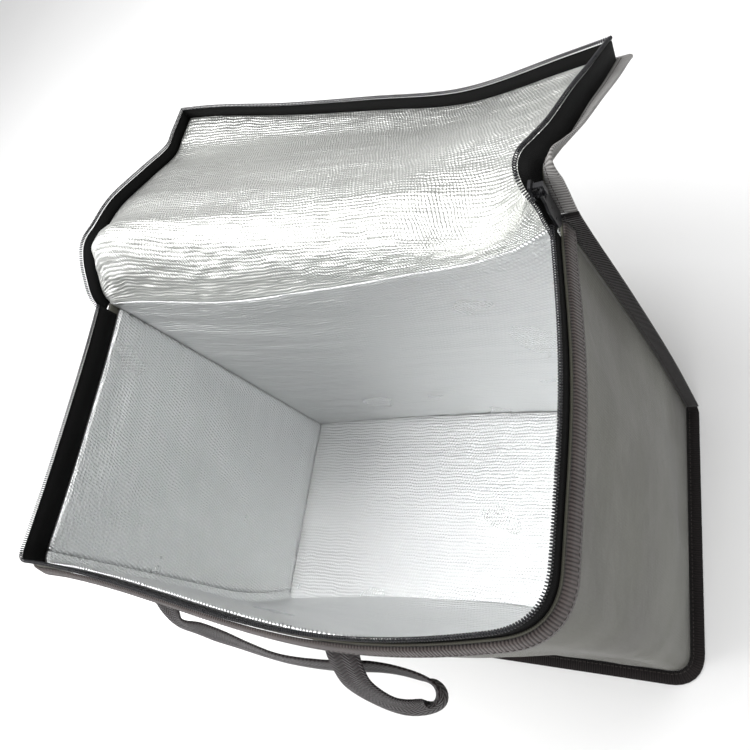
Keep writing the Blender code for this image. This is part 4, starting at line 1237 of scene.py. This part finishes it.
@dataclass
class Bindings:
    """Ribbed ribbons on the seams, with their stitches."""

    walls: WallGrid
    pitch: float = 0.0036

    def build(self, finishes: Finishes, strip: Strip, zip_part: Zip) -> None:
        """Makes every ribbon and row of stitches.

        Args:
            finishes: The bag's materials.
            strip: Grids of the rear wall and the lid.
            zip_part: The zip, for the lid's edge.
        """
        self.stitch = stitch_shape("stitch", 0.0027, 0.00032)
        self.make_rim(finishes)
        self.make_bottom(finishes)
        self.make_rear(finishes, strip)
        self.make_lid(finishes, zip_part.lid_lines(strip))
        bpy.data.objects.remove(self.stitch, do_unlink=True)

    def make_rim(self, finishes: Finishes) -> None:
        """Ribbon folded down over the front and side rims."""
        top = FORM.height
        wide, thick = FORM.binding, FORM.binding_thick
        edges = []
        profile = ((0.0, 0.0), (0.35, 0.0), (0.7, 0.0), (1.0, 0.1), (1.0, 0.9), (0.7, 1.0), (0.35, 1.0), (0.0, 0.9))
        for along, through in profile:
            out = FORM.gap + wide * along * math.sin(FORM.flare) + thick * through
            low = top - wide * along * math.cos(FORM.flare)
            edges.append(clip(self.walls.line(top, -out, low), thick + 2 * FORM.gap))
        ring_loft("rim_ribbon", edges, finishes.rim_ribbon, ["rim_binding"])
        out = FORM.gap + wide * 0.8 * math.sin(FORM.flare) + thick
        path = clip(self.walls.line(top, -out, top - wide * 0.8 * math.cos(FORM.flare)), thick + 0.004)
        ahead = unit(np.gradient(path, axis=0))
        tilts = unit(np.cross(ahead, (0.0, 0.0, 1.0)))
        row = repeated("rim_stitches", path, self.stitch, self.pitch, tilts, finishes.thread)
        settle(row, finishes.thread, "bag", [])

    def make_bottom(self, finishes: Finishes) -> None:
        """Ribbon all round the foot of the walls."""
        plan = FORM.outline(0.0, 40, 8, 70)
        xs = np.linspace(plan[-1][0], plan[0][0], 72)
        rear = np.column_stack([xs, FORM.rear_y(xs, 0.0)])
        loop = np.concatenate([plan, rear[1:-1]])
        ahead = unit(np.roll(loop, -1, axis=0) - np.roll(loop, 1, axis=0))
        outs = np.stack([ahead[:, 1], -ahead[:, 0]], axis=1)
        low = 0.0003
        high = low + FORM.binding_thick
        edges = []
        for z, share in ((low, 0.0), (low, 0.97), (low + 0.0006, 1.0), (high - 0.0006, 1.0), (high, 0.97), (high, 0.0)):
            flat = loop + outs * (FORM.gap + FORM.binding * share)
            edges.append(np.column_stack([flat, np.full(len(flat), z)]))
        piece = loft("bottom_ribbon", np.stack(edges, axis=1), closed=True)
        settle(piece, finishes.dark_ribbon, "bag", ["bottom_binding"])
        flat = loop + outs * (FORM.gap + FORM.binding * 0.22)
        path = np.column_stack([flat, np.full(len(flat), high + 0.0001)])
        tilts = np.tile((0.0, 0.0, 1.0), (len(path), 1))
        row = repeated("bottom_stitches", path, self.stitch, self.pitch, tilts, finishes.thread)
        settle(row, finishes.thread, "bag", [])

    def make_rear(self, finishes: Finishes, strip: Strip) -> None:
        """Ribbons on the two upright rear seams."""
        for side, edge, sign in (("left", 0, -1.0), ("right", -1, 1.0)):
            points = strip.face[: strip.hinge + 1, edge] + strip.away[: strip.hinge + 1, edge] * FORM.inner
            low = FORM.binding_thick + 0.0006
            points = points[points[:, 2] > low]
            near = points + np.array((sign * FORM.seam_gap, 0.0, 0.0))
            edges = []
            for share, through in ((0.0, 0.0), (0.96, 0.0), (1.0, 0.3), (1.0, 0.7), (0.96, 1.0), (0.0, 1.0)):
                edges.append(near + np.array((sign * FORM.binding * share, -FORM.binding_thick * through, 0.0)))
            ring_loft(f"rear_ribbon_{side}", edges, finishes.dark_ribbon, [f"rear_binding_{side}"])
            path = near + np.array((sign * FORM.binding * 0.2, -FORM.binding_thick - 0.0001, 0.0))
            tilts = np.tile((0.0, -1.0, 0.0), (len(path), 1))
            row = repeated(f"rear_stitches_{side}", path, self.stitch, self.pitch, tilts, finishes.thread)
            settle(row, finishes.thread, "bag", [])

    def make_lid(self, finishes: Finishes, lines: tuple[Array, Array, Array]) -> None:
        """Ribbon round the lid's free edges."""
        points, outs, ups = (line[2:-2] for line in lines)
        middle = -(FORM.inner - FORM.cloth / 2)
        half = FORM.binding_thick / 2
        edges = []
        for share, through in ((0.0, -1.0), (0.96, -1.0), (1.0, -0.4), (1.0, 0.4), (0.96, 1.0), (0.0, 1.0)):
            edges.append(points + outs * (FORM.seam_gap + FORM.binding * share) + ups * (middle + half * through))
        ring_loft("lid_ribbon", edges, finishes.lid_ribbon, ["lid_binding"])
        path = points + outs * (FORM.seam_gap + FORM.binding * 0.25) + ups * (middle + half + 0.0001)
        row = repeated("lid_stitches", path, self.stitch, self.pitch, ups, finishes.thread)
        settle(row, finishes.thread, "bag", [])


@dataclass
class Handle:
    """Webbing loop sewn on below the front rim."""

    width: float = 0.025
    thick: float = 0.0015
    spacing: float = 0.164
    from_left: float = 0.148
    under_rim: float = 0.0075
    lift: float = 0.06
    steps: int = 12

    def build(self, finishes: Finishes) -> None:
        """Makes the webbing.

        Args:
            finishes: The bag's materials.
        """
        table = np.array(STRAP)
        count = len(table)
        at = np.linspace(0, count - 1, (count - 1) * self.steps + 1)
        read = np.stack([smooth(range(count), table[:, i], at) for i in range(6)], axis=1)
        top = FORM.height - self.under_rim
        middle = []
        for along, off, up in read[:, :3]:
            x = self.from_left + self.spacing * along
            z = top + self.spacing * up
            stand = FORM.gap + self.thick / 2 + self.spacing * max(off, 0.0)
            middle.append((x, float(FORM.front_y(x, z)) - stand, z))
        middle = np.array(middle)
        ahead = unit(np.gradient(middle, axis=0))
        section = [(-1, -0.5), (-0.97, -1), (-0.5, -1), (0, -1), (0.5, -1), (0.97, -1), (1, -0.5)]
        section += [(1, 0.5), (0.97, 1), (0.5, 1), (0, 1), (-0.5, 1), (-0.97, 1), (-1, 0.5)]
        rings = []
        for point, forward, across, off in zip(middle, ahead, read[:, 3:], read[:, 1]):
            across = unit(across - forward * np.dot(across, forward)) * self.width / 2
            through = unit(np.cross(forward, across)) * self.thick / 2
            ring = np.array([point + across * i + through * j for i, j in section])
            lying = max(0.0, 1 - abs(off) / self.lift)
            for place in ring:
                here = float(FORM.front_y(place[0], place[2]))
                place[1] += lying * (here - float(FORM.front_y(point[0], point[2])))
            rings.append(ring)
        piece = loft("handle_webbing", np.array(rings))
        settle(piece, finishes.webbing, "bag", ["front_handle"])


@dataclass
class Slider:
    """Zip slider and its pull tab, which keep their own solids."""

    def build(self, finishes: Finishes) -> None:
        """Gives both hard pieces their finish and soft edges.

        Args:
            finishes: The bag's materials.
        """
        for name in ("zip_slider", "pull_tab"):
            node = bpy.data.objects[name]
            for place in node.material_slots:
                place.material = finishes.metal
            edge = node.modifiers.new("Soft edges", "BEVEL")
            edge.width = 0.0003
            edge.segments = 2
            edge.limit_method = "ANGLE"


@dataclass
class Studio:
    """Pale floor, soft lights and the camera."""

    focal: float = 683.4 / 750 * 36
    place: tuple[float, float, float] = (0.3347, -0.1371, 0.6846)
    right: tuple[float, float, float] = (0.83652, 0.14756, -0.52770)
    down: tuple[float, float, float] = (-0.07763, -0.92142, -0.38073)
    view: tuple[float, float, float] = (-0.54241, 0.35945, -0.75933)

    def build(self) -> None:
        """Makes the floor, the lights, the world and the camera."""
        self.make_floor()
        self.make_lights()
        self.make_camera()
        bpy.context.scene.view_settings.view_transform = "Standard"

    def make_floor(self) -> None:
        """Pale seamless floor."""
        mesh = bpy.data.meshes.new("floor")
        size = 4.0
        low = -0.0004
        corners = [(-size, -size, low), (size, -size, low), (size, size, low), (-size, size, low)]
        mesh.from_pydata(corners, [], [(0, 1, 2, 3)])
        floor = bpy.data.objects.new("floor", mesh)
        bpy.context.scene.collection.objects.link(floor)
        made, graph, shader = new_material("floor_white")
        place = graph.add("ShaderNodeTexCoord").outputs["Object"]
        tone = graph.curve(graph.noise(place, 1.5, 2.0), 0.3, 0.7, 0.90, 0.94)
        mixed = graph.add("ShaderNodeCombineColor", {0: tone, 1: tone, 2: tone})
        graph.tree.links.new(mixed.outputs[0], shader.inputs["Base Color"])
        shader.inputs["Roughness"].default_value = 0.9
        mesh.materials.append(made)

    def make_lights(self) -> None:
        """Soft boxes and the surroundings that the foil reflects."""
        scene = bpy.context.scene
        for name, place, aim, size, power in (
            ("key", (-1.1, -0.2, 1.7), (0.0, 0.0, 0.2), (1.2, 1.2), 30.0),
            ("fill", (0.4, -1.7, 1.6), (0.0, 0.0, 0.2), (1.4, 0.8), 16.0),
            ("top", (0.1, 0.7, 1.9), (0.0, 0.1, 0.2), (1.4, 0.7), 16.0),
        ):
            data = bpy.data.lights.new(name, "AREA")
            data.shape = "RECTANGLE"
            data.size, data.size_y = size
            data.energy = power
            lamp = bpy.data.objects.new(name, data)
            lamp.location = place
            back = unit(np.array(place) - np.array(aim))
            side = unit(np.cross((0.0, 0.0, 1.0), back))
            turned = Matrix(np.column_stack([side, np.cross(back, side), back]).tolist()).to_4x4()
            turned.translation = place
            lamp.matrix_world = turned
            scene.collection.objects.link(lamp)
        world = bpy.data.worlds.new("studio")
        world.use_nodes = True
        graph = Graph(world.node_tree)
        shade = world.node_tree.nodes["Background"]
        place = graph.add("ShaderNodeTexCoord").outputs["Generated"]
        parts = graph.add("ShaderNodeSeparateXYZ", {0: place})
        lift = graph.curve(parts.outputs[2], -0.1, 0.9, 0.35, 1.1)
        patches = graph.curve(graph.noise(place, 2.2, 2.0), 0.40, 0.60, 0.45, 1.15)
        tone = graph.math("MULTIPLY", lift, patches)
        mixed = graph.add("ShaderNodeCombineColor", {0: tone, 1: tone, 2: tone})
        graph.tree.links.new(mixed.outputs[0], shade.inputs["Color"])
        shade.inputs["Strength"].default_value = 0.75
        scene.world = world

    def make_camera(self) -> None:
        """Camera at the photograph's angle."""
        data = bpy.data.cameras.new("camera")
        data.sensor_width = 36
        data.lens = self.focal
        camera = bpy.data.objects.new("camera", data)
        turned = Matrix.Identity(4)
        for i in range(3):
            turned[i][0] = self.right[i]
            turned[i][1] = -self.down[i]
            turned[i][2] = -self.view[i]
            turned[i][3] = self.place[i]
        camera.matrix_world = turned
        bpy.context.scene.collection.objects.link(camera)
        bpy.context.scene.camera = camera


def main() -> None:
    """Builds the whole scene in order."""
    logging.basicConfig(level=logging.INFO, format="%(message)s")
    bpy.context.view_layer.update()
    Studio().build()
    finishes = Finishes.make()
    walls = WallGrid()
    strip = Strip()
    zip_part = Zip(walls)
    Lining(walls).build(finishes, strip)
    Cloth(walls).build(finishes, strip)
    zip_part.build(finishes, strip)
    Bindings(walls).build(finishes, strip, zip_part)
    Handle().build(finishes)
    Slider().build(finishes)


if __name__ == "__main__":
    main()
